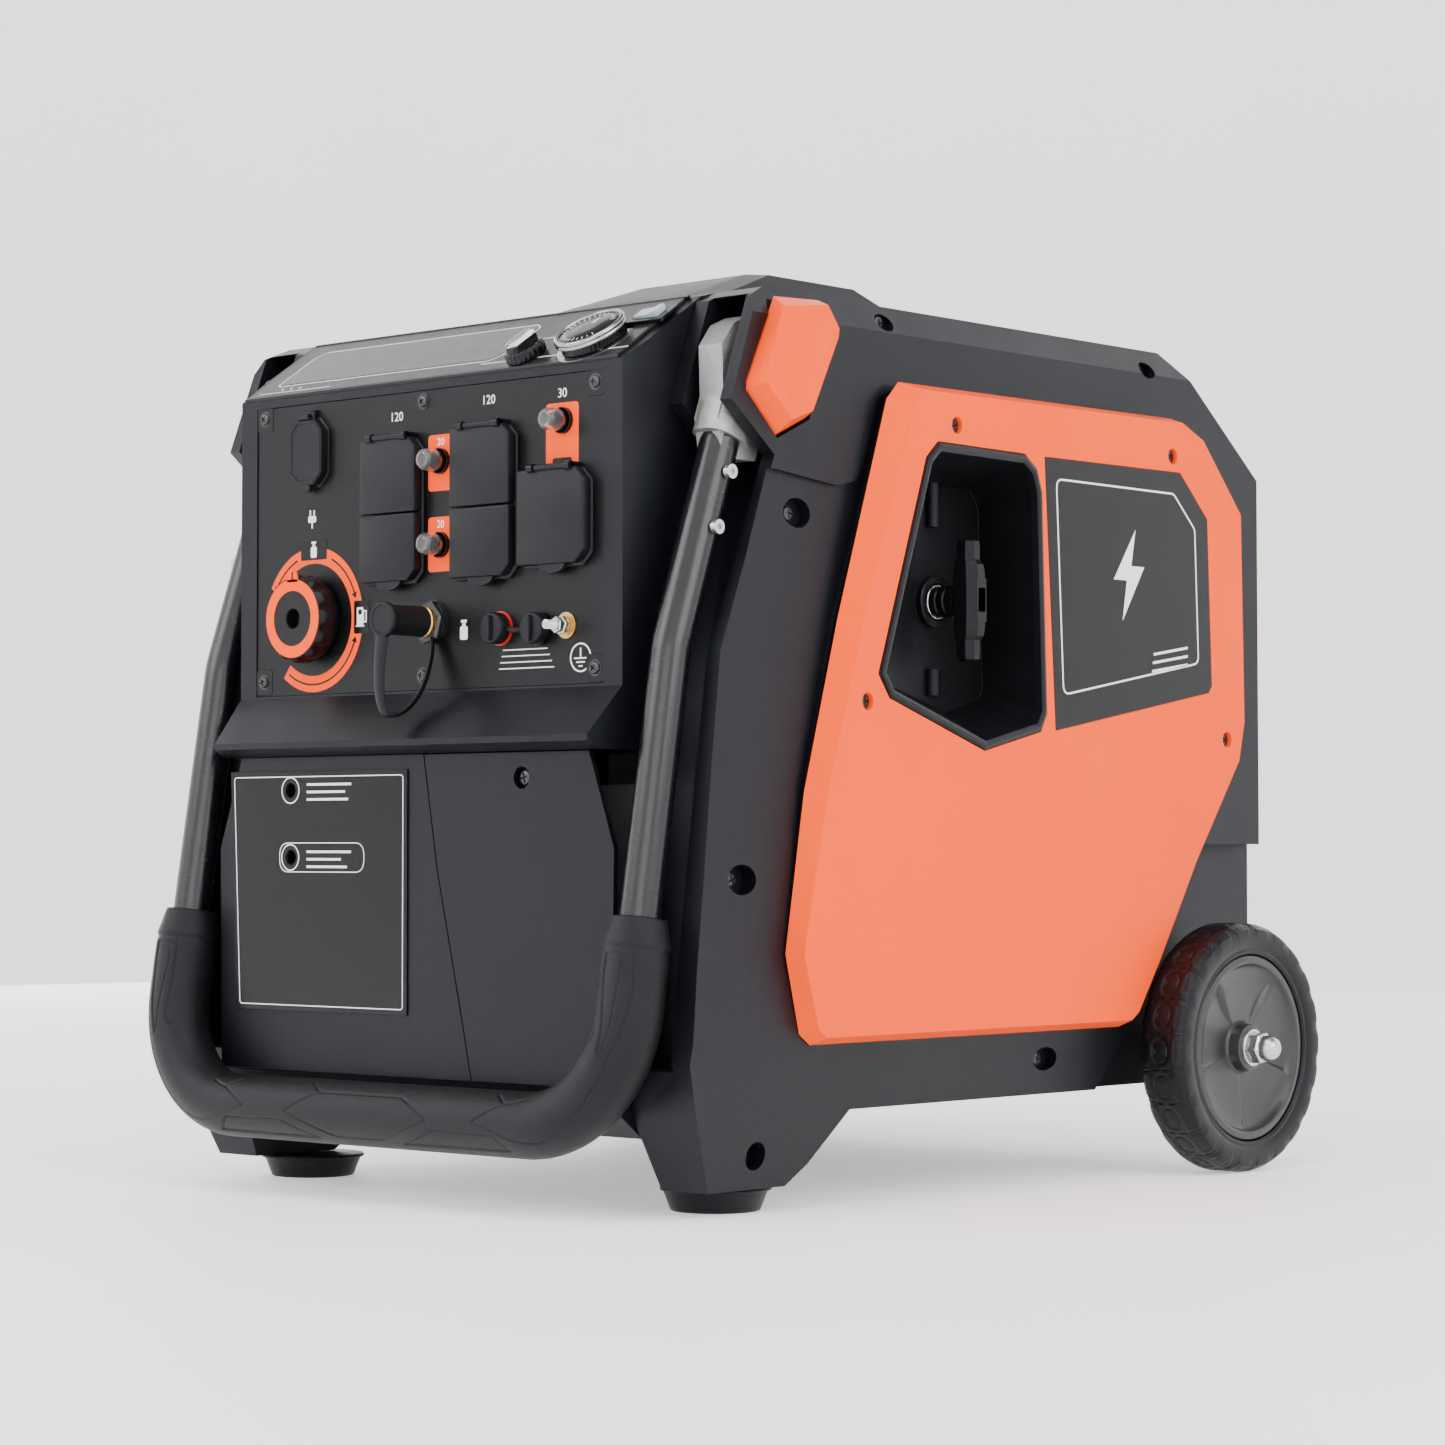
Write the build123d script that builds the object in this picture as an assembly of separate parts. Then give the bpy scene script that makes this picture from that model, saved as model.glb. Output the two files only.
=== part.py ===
from build123d import *
import math
import os

# Portable inverter generator, dual fuel, about 610 wide, 686 long and 612 tall.
# Frame: +X is the object's left-to-right with the recoil starter on the +X side, +Y points to
# the wheels at the rear, +Z is up. The origin is on the floor, under the middle of the housing.
# All sizes are millimetres.

# ---------------------------------------------------------------- driving dimensions
WALL = 4.0                      # moulded housing wall
GAP = 0.4                       # joint line between housing parts

SHELL_INNER_X = 186.0           # side shells meet the top, front and rear covers here
TOP_Z = 585.0                   # top of the side shells
SIDE_X = 246.0                  # widest plane of the side shells
PANEL_BASE_X = 246.4            # back of the orange side panels
PANEL_FACE_X = 259.0            # outer face of the orange side panels
REAR_Y = 343.0                  # rear face
FLOOR_Z = 62.0                  # underside of the base pan

FASCIA_Y = -284.0               # face of the upper front housing
FASCIA_HALF = 181.5             # its half width
SLOPE_FRONT = (-284.0, 536.0)   # (y, z) of the display slope's lower edge
SLOPE_REAR = (-215.2, 581.9)    # (y, z) of the display slope's upper edge
PLATE_FACE_Y = -283.2           # face of the control plate

PIVOT_Y, PIVOT_Z = -210.0, 550.0    # handle pivot
TUBE_X = 213.0                  # centre of the handle's arms
TUBE_R, TUBE_BORE = 12.7, 10.9
GRIP_R = 21.0
BAR_Y, BAR_Z = -322.0, 57.0     # centre of the grip bar, handle stowed
CORNER_R = 74.0                 # centre-line radius of the handle's lower corners
PIVOT_END_X = 230.4             # outer end of the pivot pins

WHEEL_Y, WHEEL_R = 250.0, 88.0  # axle position and tyre radius
TYRE_X0, TYRE_X1 = 252.0, 290.0 # tyre width on the +X side
RIM_R = 66.0
AXLE_R = 8.0

STARTER_Y, STARTER_Z = -5.0, 395.0  # rope line of the recoil starter
POCKET_BACK_X = 203.0           # back wall of the starter pocket
PULLEY_R, ROPE_R = 42.0, 2.5    # rope pulley and rope
CRANK_Y, CRANK_Z = STARTER_Y + PULLEY_R + ROPE_R, 250.0


# ---------------------------------------------------------------- helpers
def block(x0, x1, y0, y1, z0, z1):
    size = Box(x1 - x0, y1 - y0, z1 - z0)
    return Pos((x0 + x1) / 2, (y0 + y1) / 2, (z0 + z1) / 2) * size


def outline_x(points, x, grow=0.0):
    """Closed (y, z) outline on the plane at x."""
    face = Polygon(*points, align=None)
    if grow:
        face = offset(face, grow, kind=Kind.INTERSECTION)
    return Plane.YZ.offset(x) * face


def prism_x(points, x0, x1, grow=0.0):
    return extrude(outline_x(points, x0, grow), x1 - x0, dir=(1, 0, 0))


def prism_y(points, y0, y1):
    face = Plane.XZ.offset(-y1) * Polygon(*points, align=None)
    return extrude(face, y1 - y0, dir=(0, -1, 0))


def prism_z(points, z0, z1):
    return extrude(Plane.XY.offset(z0) * Polygon(*points, align=None), z1 - z0, dir=(0, 0, 1))


def rod_x(x0, x1, y, z, r):
    return extrude(Plane.YZ.offset(x0) * Pos(y, z) * Circle(r), x1 - x0)


def rod_y(y0, y1, x, z, r):
    return extrude(Plane.XZ.offset(-y1) * Pos(x, z) * Circle(r), y1 - y0)


def rod_z(z0, z1, x, y, r):
    return extrude(Plane.XY.offset(z0) * Pos(x, y) * Circle(r), z1 - z0)


def hex_y(y0, y1, x, z, flats):
    nut = RegularPolygon(flats / 2, 6, major_radius=False)
    return extrude(Plane.XZ.offset(-y1) * Pos(x, z) * nut, y1 - y0)


def loft_x(points_a, xa, points_b, xb):
    return loft([outline_x(points_a, xa), outline_x(points_b, xb)], ruled=True)


def other_side(shape):
    return mirror(shape, about=Plane.YZ)


def both_sides(shape):
    return [shape, other_side(shape)]


def rounded_path(points, radii):
    """Straight runs joined by tangent arcs, one radius for each inner corner."""
    pts = [Vector(*p) for p in points]
    edges = []
    start = pts[0]
    for before, corner, after, r in zip(pts, pts[1:], pts[2:], radii):
        back = (before - corner).normalized()
        on = (after - corner).normalized()
        half = math.radians(back.get_angle(on)) / 2
        run = r / math.tan(half)
        a, b = corner + back * run, corner + on * run
        middle = corner + (back + on).normalized() * (r / math.sin(half) - r)
        edges += [Line(start, a), ThreePointArc(a, middle, b)]
        start = b
    edges.append(Line(start, pts[-1]))
    return Wire(edges)


def tube_along(path, r):
    tangent = path % 0
    start = Plane(origin=path @ 0, z_dir=tangent)
    return sweep(start * Circle(r), path=path)


parts = {}

# ---------------------------------------------------------------- side shells
# (y, z) outline of a side shell, clockwise from the top front.
SIDE_OUTLINE = [
    (-203, TOP_Z), (-221, 577), (-246, 509), (-206, 477), (-210, 468), (-232, 410),
    (-257, 352), (-270, 265), (-284, 158), (-290, 97), (-279, FLOOR_Z), (-259, 16),
    (-187, 16), (-168, 29), (-134, FLOOR_Z), (REAR_Y, FLOOR_Z), (REAR_Y, 491), (226, TOP_Z),
]
# (x, z) section of the +X shell.
SIDE_SECTION = [
    (SHELL_INNER_X, TOP_Z), (226, TOP_Z), (238, 566), (SIDE_X, 110), (240, FLOOR_Z),
    (231, 16), (192, 16), (SHELL_INNER_X, FLOOR_Z),
]
CAVITY_SECTION = [
    (150, 581), (224, 581), (234, 564.6), (SIDE_X - WALL, 110), (236, FLOOR_Z),
    (227.6, 20), (196, 20), (190, FLOOR_Z), (150, FLOOR_Z),
]
CHANNEL_X0, CHANNEL_X1 = 197.5, 229.0
CHANNEL_LOW = [(-340, 92), (-262, 92), (-262, 205), (-246, 340), (-216, 430), (-190, 478),
               (-340, 478)]
CHANNEL_TOP = [(-340, 470), (-192, 470), (-178, 492), (-178, 579), (-340, 579)]
# Wheel well in the outer face, behind the orange panel.
WELL = [(112, 40), (159, 100), (187, 150), (231, 219), (238, 232), (360, 232), (360, 40)]
WELL_X = 222.0
REAR_CORNER = [(231, 360), (231, REAR_Y), (SIDE_X + 1, 322), (262, 322), (262, 360)]


def side_body(grow, section, channel_low_x0):
    body = prism_x(SIDE_OUTLINE, 150, 262, -grow) & prism_y(section, -400, 400)
    body -= prism_x(CHANNEL_LOW, channel_low_x0, CHANNEL_X1 + grow, grow)
    body -= prism_x(CHANNEL_TOP, CHANNEL_X0 - grow, CHANNEL_X1 + grow, grow)
    body -= prism_x(WELL, WELL_X - grow, 270, grow)
    corner = Polygon(*REAR_CORNER, align=None)
    if grow:
        corner = offset(corner, grow, kind=Kind.INTERSECTION)
    return body - extrude(corner, 700, dir=(0, 0, 1))


# Orange panel outlines, in the same order: against the shell, and on the outer face.
PANEL_BASE = [
    (-104, 521), (-92, 533), (213, 535), (240, 525), (287, 472), (290, 320), (283, 290),
    (229, 218), (184, 148.5), (157, 111), (148, 105), (-181, 105), (-191, 112), (-204, 163),
    (-186, 265), (-153, 377),
]
PANEL_FACE = [
    (-89, 518), (-80, 528), (211, 530.5), (236, 520), (282.5, 470), (286, 320), (279, 292),
    (226, 221), (181, 151.5), (155.5, 115.5), (147, 110), (-178, 110), (-186, 115), (-200, 163),
    (-177, 265), (-141, 377),
]
RECESS_RIM = [
    (-78, 484), (-66, 495), (27, 494), (40, 485), (45.6, 470), (50.5, 320), (43.7, 308),
    (-17.4, 294), (-116, 326), (-127, 341),
]
RECESS_BACK = [
    (-50, 470), (-42, 478), (38, 477), (46, 470), (50, 460), (54, 338), (50, 329),
    (10, 318), (-62, 338), (-70, 348),
]
BADGE = [(49, 494), (207, 494.8), (240, 464), (245, 345), (241, 340), (60.5, 309)]
BADGE_DEPTH = 0.8

# Oval screw recesses: centre (y, z), half width, half height and the x of the recess floor.
SCREW_SPOTS = [(-182, 442, 13, 9.5, 228), (-242, 209.6, 13, 9.5, 233), (-219.5, 37, 9, 9, 222),
               (68, 86, 13, 8, 234), (-91, 573, 9, 6, 227), (199, 569, 9, 6, 227)]
# Recessed front column under the latch: its (y, z) outline, and the (x, z) wedge cut from it.
COLUMN = [(-300, 468), (-203, 468), (-172, 464.5), (-145, 462), (-127, 466), (-119, 478),
          (-104, 522), (-90, 528), (-150, 377), (-183, 265), (-200, 170), (-300, 170)]
COLUMN_CUT = [(235, 540), (262, 540), (262, 190), (244.9, 190), (238.2, 400), (236.2, 468)]
LATCH_BASE = [(-203, 578), (-160, 580), (-149, 562), (-150, 555), (-173, 503), (-203, 489),
              (-231, 516), (-231, 521)]
LATCH_FACE = [(-209, 570), (-166, 575), (-155, 561), (-156, 555), (-181, 506), (-201, 499),
              (-225, 520), (-225, 524)]
LATCH_BACK_X, LATCH_FACE_X, LATCH_TRAVEL = 236.0, 250.0, 4.0


def oval_x(y, z, half_y, half_z, x0, x1):
    face = Plane.YZ.offset(x0) * Pos(y, z) * Ellipse(half_y, half_z)
    return extrude(face, x1 - x0, dir=(1, 0, 0))


def make_side_shell():
    shell = side_body(0, SIDE_SECTION, SHELL_INNER_X - 10)
    shell -= side_body(WALL, CAVITY_SECTION, SHELL_INNER_X - 10)
    # Pocket of the handle latch, with a hole for the latch plunger behind it.
    body = side_body(0, SIDE_SECTION, SHELL_INNER_X - 10)
    shell += prism_x(LATCH_BASE, CHANNEL_X1, 240, 6) & body
    # Recessed column, with its wall thickened behind the cut.
    column = prism_x(COLUMN, CHANNEL_X1 + 1, 262)
    shell += column & body & prism_y([(x - 4.5, z) for x, z in COLUMN_CUT], -400, 400)
    shell -= column & prism_y(COLUMN_CUT, -400, 400)
    shell -= prism_x(LATCH_BASE, LATCH_BACK_X - LATCH_TRAVEL - 0.8, 262, 1.2)
    # Bosses under the screw recesses.
    outer = body - (column & prism_y(COLUMN_CUT, -400, 400))
    for y, z, half_y, half_z, floor_x in SCREW_SPOTS:
        shell += oval_x(y, z, half_y + 3, half_z + 3, floor_x - 4, 262) & outer
        shell -= oval_x(y, z, half_y, half_z, floor_x, 262)
        shell -= rod_x(floor_x - 6, floor_x + 1, y, z, 2.6)
    # Pivot bore through both cheeks of the handle channel.
    shell -= rod_x(SHELL_INNER_X - 5, PIVOT_END_X + 0.3, PIVOT_Y, PIVOT_Z, 6.05)
    shell -= rod_x(WELL_X - 20, WELL_X + 2, WHEEL_Y, WHEEL_R, AXLE_R + 3)
    return shell


right_shell = make_side_shell()
left_shell = other_side(right_shell)
# The starter pocket passes through the right shell only.
right_shell -= prism_x(RECESS_RIM, SIDE_X - 12, SIDE_X + 2, 3)
parts["right_side_shell"] = right_shell
parts["left_side_shell"] = left_shell


# ---------------------------------------------------------------- orange side panels
def make_panel():
    panel = loft_x(PANEL_BASE, PANEL_BASE_X, PANEL_FACE, PANEL_FACE_X)
    hollow = prism_x(PANEL_FACE, PANEL_BASE_X - 1, PANEL_FACE_X - 3.5, -4)
    panel -= hollow
    for y, z in ((-46, 507.5), (198.3, 506), (-138, 323), (264, 307)):
        panel += rod_x(PANEL_BASE_X, PANEL_FACE_X - 3.5, y, z, 8)
        panel -= rod_x(PANEL_FACE_X - 5, PANEL_FACE_X + 1, y, z, 5.6)
        panel -= rod_x(PANEL_BASE_X - 1, PANEL_FACE_X, y, z, 2.2)
    panel -= prism_x(BADGE, PANEL_FACE_X - BADGE_DEPTH, PANEL_FACE_X + 1, 0.3)
    return panel


plain_panel = make_panel()
parts["right_side_panel"] = plain_panel - prism_x(RECESS_RIM, 200, 270, 0.4)
left_panel = other_side(plain_panel)
VENT_SLOTS = 7
for i in range(VENT_SLOTS):
    z = 345 + 20 * i
    slot = [(-92 + 6 * i, z), (30, z), (30, z + 9), (-92 + 6 * i, z + 9)]
    left_panel -= other_side(prism_x(slot, 240, 270))
parts["left_side_panel"] = left_panel

# ---------------------------------------------------------------- starter pocket
recess = loft_x(RECESS_RIM, PANEL_FACE_X + 0.4, RECESS_BACK, POCKET_BACK_X - 3)
inner_rim = offset(Polygon(*RECESS_RIM, align=None), -5, kind=Kind.INTERSECTION)
inner_back = offset(Polygon(*RECESS_BACK, align=None), -3, kind=Kind.INTERSECTION)
recess -= loft([Plane.YZ.offset(PANEL_FACE_X + 0.5) * inner_rim,
                Plane.YZ.offset(POCKET_BACK_X) * inner_back], ruled=True)
recess += rod_x(POCKET_BACK_X - 1, POCKET_BACK_X + 4, STARTER_Y, STARTER_Z, 17)
recess -= rod_x(POCKET_BACK_X - 10, POCKET_BACK_X + 10, STARTER_Y, STARTER_Z, 9)
parts["starter_pocket"] = recess

guide = rod_x(POCKET_BACK_X - 3, POCKET_BACK_X + 4, STARTER_Y, STARTER_Z, 9)
guide += rod_x(POCKET_BACK_X + 4, POCKET_BACK_X + 7, STARTER_Y, STARTER_Z, 12)
guide -= rod_x(POCKET_BACK_X - 4, POCKET_BACK_X + 8, STARTER_Y, STARTER_Z, 3.5)
parts["rope_guide"] = guide

GRIP_BACK_X = POCKET_BACK_X + 7.4
grip_bar = block(228, 243, STARTER_Y - 7, STARTER_Y + 7, STARTER_Z - 41, STARTER_Z + 41)
grip_bar += block(226, 247, STARTER_Y - 9, STARTER_Y + 9, STARTER_Z - 24, STARTER_Z + 24)
neck = rod_x(GRIP_BACK_X, 228, STARTER_Y, STARTER_Z, 10.5)
parts["starter_grip"] = grip_bar + neck - rod_x(GRIP_BACK_X - 1, 240, STARTER_Y, STARTER_Z, 2.6)
rope_line = [(127, STARTER_Y, CRANK_Z), (127, STARTER_Y, STARTER_Z),
             (GRIP_BACK_X + 18, STARTER_Y, STARTER_Z)]
parts["starter_rope"] = tube_along(rounded_path(rope_line, [20]), ROPE_R)

# ---------------------------------------------------------------- black plates
INDICATOR = [(-175, 281), (1, 281), (1, 120), (-168, 120)]
LOWER_Y = -297.0
badge = prism_x(BADGE, PANEL_FACE_X - BADGE_DEPTH, PANEL_FACE_X)
indicator = prism_y(INDICATOR, LOWER_Y - 1.2, LOWER_Y)
INDICATOR_HOLES = [(-113.5, 268.0), (-113.0, 223.0)]
for x, z in INDICATOR_HOLES:
    indicator -= rod_y(LOWER_Y - 4, LOWER_Y + 1, x, z, 5)
parts["label_plates"] = [badge, other_side(badge), indicator]

# ---------------------------------------------------------------- top cover
TOP_OUTLINE = [(-214.6, TOP_Z - 3), (-203, TOP_Z), (226, TOP_Z), (228, TOP_Z - WALL - 0.5),
               (-200, TOP_Z - WALL), (-213, TOP_Z - WALL - 3)]
# Raised air intake over the engine: outline at the foot and at the top.
HUMP_LOW = [(42, -208), (158, -208), (172, -190), (172, 22), (158, 40), (42, 40)]
HUMP_HIGH = [(52, -129), (146, -129), (156, -117), (156, -30), (146, -18), (52, -18)]
HUMP_Z = 609.5
CAP_X, CAP_Y, CAP_R, NECK_R = 0.0, -54.0, 38.0, 30.0
hump = loft([Plane.XY.offset(TOP_Z - 1) * Polygon(*HUMP_LOW, align=None),
             Plane.XY.offset(HUMP_Z) * Polygon(*HUMP_HIGH, align=None)], ruled=True)
hump_inside = loft([
    Plane.XY.offset(TOP_Z - 5) * offset(Polygon(*HUMP_LOW, align=None), -5),
    Plane.XY.offset(HUMP_Z - 4) * offset(Polygon(*HUMP_HIGH, align=None), -4)], ruled=True)
top_half = SHELL_INNER_X - GAP
top_cover = prism_x(TOP_OUTLINE, -top_half, top_half) + hump
top_cover -= hump_inside
top_cover -= rod_z(TOP_Z - 20, 640, CAP_X, CAP_Y, NECK_R + 0.6)
parts["top_cover"] = top_cover

# ---------------------------------------------------------------- upper front housing
FASCIA_PROFILE = [SLOPE_FRONT, (FASCIA_Y, 331), (-311, 300), (-311, 296), (-302, 291),
                  (-205, 291), (-205, 573), (-215.2, 576), SLOPE_REAR]
FASCIA_HOLLOW = [(-279, 529), (-279, 334), (-304, 302), (-304, 297), (-200, 297),
                 (-200, 569), (-217, 569)]
FASCIA_PLAN = [(-177, -312), (177, -312), (FASCIA_HALF, FASCIA_Y), (185.4, -262.4),
               (185.4, -200), (-185.4, -200), (-185.4, -262.4), (-FASCIA_HALF, FASCIA_Y)]
fascia = prism_x(FASCIA_PROFILE, -190, 190) & prism_z(FASCIA_PLAN, 200, 640)
fascia -= prism_x(FASCIA_HOLLOW, -177, 177)
PLATE_X, PLATE_Z0, PLATE_Z1 = 165.0, 333.0, 530.0
PLATE_BACK_Y = PLATE_FACE_Y + 2.0
fascia -= block(-PLATE_X - 0.4, PLATE_X + 0.4, FASCIA_Y - 1, PLATE_BACK_Y,
                PLATE_Z0 - 0.4, PLATE_Z1 + 0.4)

# Outlets: centre x, centre z, half width and half height of the body behind each cover.
OUTLETS = [(-26, 474, 20, 17), (-26, 428, 20, 17), (60.5, 476, 20, 17), (60.5, 430, 20, 17),
           (126, 437, 21, 21)]
USB = (-109.5, 497, 12, 17)
BREAKERS = [(16.5, 482.5), (16.7, 427.5), (129, 500.5)]
SELECTOR_X, SELECTOR_Z = -107.5, 383.5
LPG_X, LPG_Z = 9.5, 377.0
JACKS = [(72.7, 370.5), (109.0, 369.2)]
STUD_X, STUD_Z = 132.3, 370.2
SHANK_R = 2.4  # the stud behind its free end
plate = block(-PLATE_X, PLATE_X, PLATE_FACE_Y, PLATE_BACK_Y - 0.02, PLATE_Z0, PLATE_Z1)
openings = [block(x - w, x + w, -290, -270, z - h, z + h) for x, z, w, h in OUTLETS + [USB]]
openings += [rod_y(-290, -270, x, z, 6.2) for x, z in BREAKERS]
openings += [rod_y(-290, -270, x, z, 4.5) for x, z in JACKS]
openings += [rod_y(-290, -270, SELECTOR_X, SELECTOR_Z, 6.5),
             rod_y(-290, -270, LPG_X, LPG_Z, 8.2), rod_y(-290, -270, STUD_X, STUD_Z, 3.1)]
for hole in openings:
    plate -= hole
    fascia -= hole
PLATE_SCREWS = [(x, z) for x in (-157.5, 0, 157.5) for z in (342.5, 523)]
for x, z in PLATE_SCREWS:
    plate -= rod_y(-290, -270, x, z, 2.1)
    fascia -= rod_y(-290, -278.0, x, z, 1.7)
parts["control_plate"] = plate

# ---------------------------------------------------------------- display slope and its controls
slope_dy = SLOPE_REAR[0] - SLOPE_FRONT[0]
slope_dz = SLOPE_REAR[1] - SLOPE_FRONT[1]
SLOPE = Plane(origin=(0, SLOPE_FRONT[0], SLOPE_FRONT[1]), x_dir=(1, 0, 0),
              z_dir=(0, -slope_dz, slope_dy))


def on_slope(x, along, low, high, sketch):
    """Extrude a sketch standing on the display slope, centred at x and a distance up it."""
    return extrude(SLOPE.offset(low) * Pos(x, along) * sketch, high - low)


# Controls: x, and distance up the slope.
DIAL = (138.0, 25.5)
KNOB = (86.0, 15.0)
ROCKER = (165.0, 54.0)
display = on_slope(0, 41.5, 0, 2, RectangleRounded(352, 78, 5))
display -= on_slope(*DIAL, -1, 3, Circle(4.2))
display -= on_slope(*KNOB, -1, 3, Circle(3.2))
display -= on_slope(*ROCKER, -1, 3, Rectangle(24, 13))
fascia -= on_slope(*DIAL, -12, 3, Circle(4.2))
fascia -= on_slope(*KNOB, -12, 3, Circle(3.2))
fascia -= on_slope(*ROCKER, -12, 3, Rectangle(24, 13))
parts["front_fascia"] = fascia
parts["display_panel"] = display

dial = on_slope(*DIAL, 2.4, 8, Circle(22)) + on_slope(*DIAL, 8, 13.5, Circle(24.5))
parts["start_dial"] = dial + on_slope(*DIAL, -10, 3, Circle(4.0))
knob = on_slope(*KNOB, 2.4, 10, Circle(14)) + on_slope(*KNOB, 10, 17, RectangleRounded(11, 24, 4))
parts["mode_knob"] = knob + on_slope(*KNOB, -10, 3, Circle(3.0))
rocker = on_slope(*ROCKER, -5, 8, Rectangle(21, 11))
parts["rocker_switch"] = rocker

# ---------------------------------------------------------------- lower front
SEAM_TOP_X, SEAM_LOW_X = 15.0, 60.0
LOWER_TOP_Z, LOWER_Z = 290.4, 80.0
COVER_BACK_Y = LOWER_Y + WALL
left_cover = [(-165, LOWER_TOP_Z), (SEAM_TOP_X, LOWER_TOP_Z), (28, 215), (52, 116),
              (SEAM_LOW_X, LOWER_Z), (-185, LOWER_Z), (-187, 229)]
right_cover = [(165, LOWER_TOP_Z), (187, 229), (185, LOWER_Z), (SEAM_LOW_X + 0.8, LOWER_Z),
               (52.8, 116), (28.8, 215), (SEAM_TOP_X + 0.8, LOWER_TOP_Z)]
lower_cover = prism_y(left_cover, LOWER_Y, COVER_BACK_Y)
for x, z in INDICATOR_HOLES:
    lower_cover += rod_y(COVER_BACK_Y, COVER_BACK_Y + 8, x, z, 8)
    lower_cover -= rod_y(LOWER_Y - 1, COVER_BACK_Y + 6, x, z, 5)
parts["lower_front_cover"] = lower_cover
COVER_SCREW = (105.6, 274.0)
maintenance = prism_y(right_cover, LOWER_Y, COVER_BACK_Y)
maintenance += rod_y(COVER_BACK_Y, COVER_BACK_Y + 6, *COVER_SCREW, 10)
maintenance -= rod_y(LOWER_Y - 1, COVER_BACK_Y + 3, *COVER_SCREW, 7)
maintenance -= rod_y(LOWER_Y - 1, COVER_BACK_Y + 8, *COVER_SCREW, 2.2)
parts["maintenance_cover"] = maintenance

# ---------------------------------------------------------------- base pan
BASE_PROFILE = [(-293, 79.5), (-288, FLOOR_Z), (-270, 48), (-150, 46), (-132, FLOOR_Z - 4),
                (330, FLOOR_Z - 4), (338, 66), (338, 76), (-262, 76), (-262, 79.5)]
base_half = SHELL_INNER_X - GAP
base = prism_x(BASE_PROFILE, -base_half, base_half)
base -= block(-base_half + 6, base_half - 6, -240, 330, 66, 80)
# Inner frame: an axle beam with two bearing cheeks, and the feet plates.
base += block(-base_half, base_half, WHEEL_Y - 22, WHEEL_Y + 22, 64, WHEEL_R + 22)
base -= block(-base_half + 30, base_half - 30, WHEEL_Y - 23, WHEEL_Y + 23, 70, WHEEL_R + 30)
base -= rod_x(-200, 200, WHEEL_Y, WHEEL_R, AXLE_R + 0.05)
for x in (-110, 110):
    for y in (-120, 80):
        base += rod_z(60, 84, x, y, 16)
parts["base_pan"] = base

FOOT_X, FOOT_Y = 191.0, -208.0
foot = loft([Plane.XY * Circle(29), Plane.XY.offset(15.6) * Circle(36)])
foot = Pos(FOOT_X, FOOT_Y, 0) * foot
parts["front_feet"] = both_sides(foot)

# ---------------------------------------------------------------- rear cover
REAR_PROFILE = [(227, TOP_Z), (REAR_Y, 491), (REAR_Y, 66), (338.4, 66), (338.4, 489),
                (229, 578)]
rear = prism_x(REAR_PROFILE, -top_half, top_half)
for i in range(9):
    z = 330 + 16 * i
    rear -= block(-150, -10, 330, 350, z, z + 8)
EXHAUST_X, EXHAUST_Z = 95.0, 400.0
for ring in range(3):
    rear += rod_y(REAR_Y - 6, REAR_Y - 1, EXHAUST_X, EXHAUST_Z, 58 - 6 * ring)
rear -= rod_y(320, 350, EXHAUST_X, EXHAUST_Z, 40)
parts["rear_cover"] = rear

# ---------------------------------------------------------------- handle
ARM_TOP = (TUBE_X, -223.4, 500)
ARM_KNEE = (TUBE_X, -273.0, 355)
arm_fall = (BAR_Y - ARM_KNEE[1]) / (ARM_KNEE[2] - BAR_Z)
BAR_END = (TUBE_X, BAR_Y, BAR_Z)


def flip(point):
    return (-point[0], point[1], point[2])


handle_points = [ARM_TOP, ARM_KNEE, BAR_END, flip(BAR_END), flip(ARM_KNEE), flip(ARM_TOP)]
handle_path = rounded_path(handle_points, [90, CORNER_R, CORNER_R, 90])
tube = tube_along(handle_path, TUBE_R) - tube_along(handle_path, TUBE_BORE)
GRIP_TOP_Z = 186.0
grip_top = (TUBE_X, ARM_KNEE[1] + arm_fall * (ARM_KNEE[2] - GRIP_TOP_Z), GRIP_TOP_Z)
grip_path = rounded_path([grip_top, BAR_END, flip(BAR_END), flip(grip_top)],
                         [CORNER_R, CORNER_R])
grip = tube_along(grip_path, GRIP_R) - tube_along(grip_path, TUBE_R)
parts["handle_tube"] = tube
parts["handle_grip"] = grip

# Cast brackets: a socket inside the tube end, a flat arm and the pivot knuckle.
ARM_PROFILE = [(-212, 566), (-199, 560), (-196, 548), (-203, 530), (-206, 505), (-196, 500),
               (-206, 474), (-237, 474), (-241, 500), (-236, 514), (-237, 546), (-226, 560)]
BRACKET_X0, BRACKET_X1 = 203.0, 223.0
bracket = prism_x(ARM_PROFILE, BRACKET_X0, BRACKET_X1)
arm_dir = Vector(*ARM_KNEE) - Vector(*ARM_TOP)
socket_at = Plane(origin=Vector(*ARM_TOP) - arm_dir.normalized() * 4, x_dir=(1, 0, 0),
                  z_dir=arm_dir)
bracket += extrude(socket_at * RectangleRounded(29, 36, 12), 18)
bracket -= extrude(socket_at.offset(4) * Circle(TUBE_R + 0.02), 90)
bracket += extrude(socket_at * Circle(TUBE_BORE - 0.05), 96)
bracket -= rod_x(190, 240, PIVOT_Y, PIVOT_Z, 6.0)
SOCKET_SCREWS = [(-228.5, 465), (-243.5, 429.5)]
parts["handle_brackets"] = both_sides(bracket)

hardware = []
for y, z in SOCKET_SCREWS:
    y = ARM_TOP[1] + arm_dir.Y / arm_dir.Z * (z - ARM_TOP[2])
    screw = rod_x(TUBE_X + 13.4, TUBE_X + 17.5, y, z, 4.6)
    screw -= extrude(Plane.YZ.offset(TUBE_X + 15) * Pos(y, z) * RegularPolygon(2.2, 6), 3)
    hardware += both_sides(screw)
hardware += both_sides(rod_x(SHELL_INNER_X + 2, PIVOT_END_X, PIVOT_Y, PIVOT_Z, 6.0))
parts["handle_hardware"] = hardware

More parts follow.
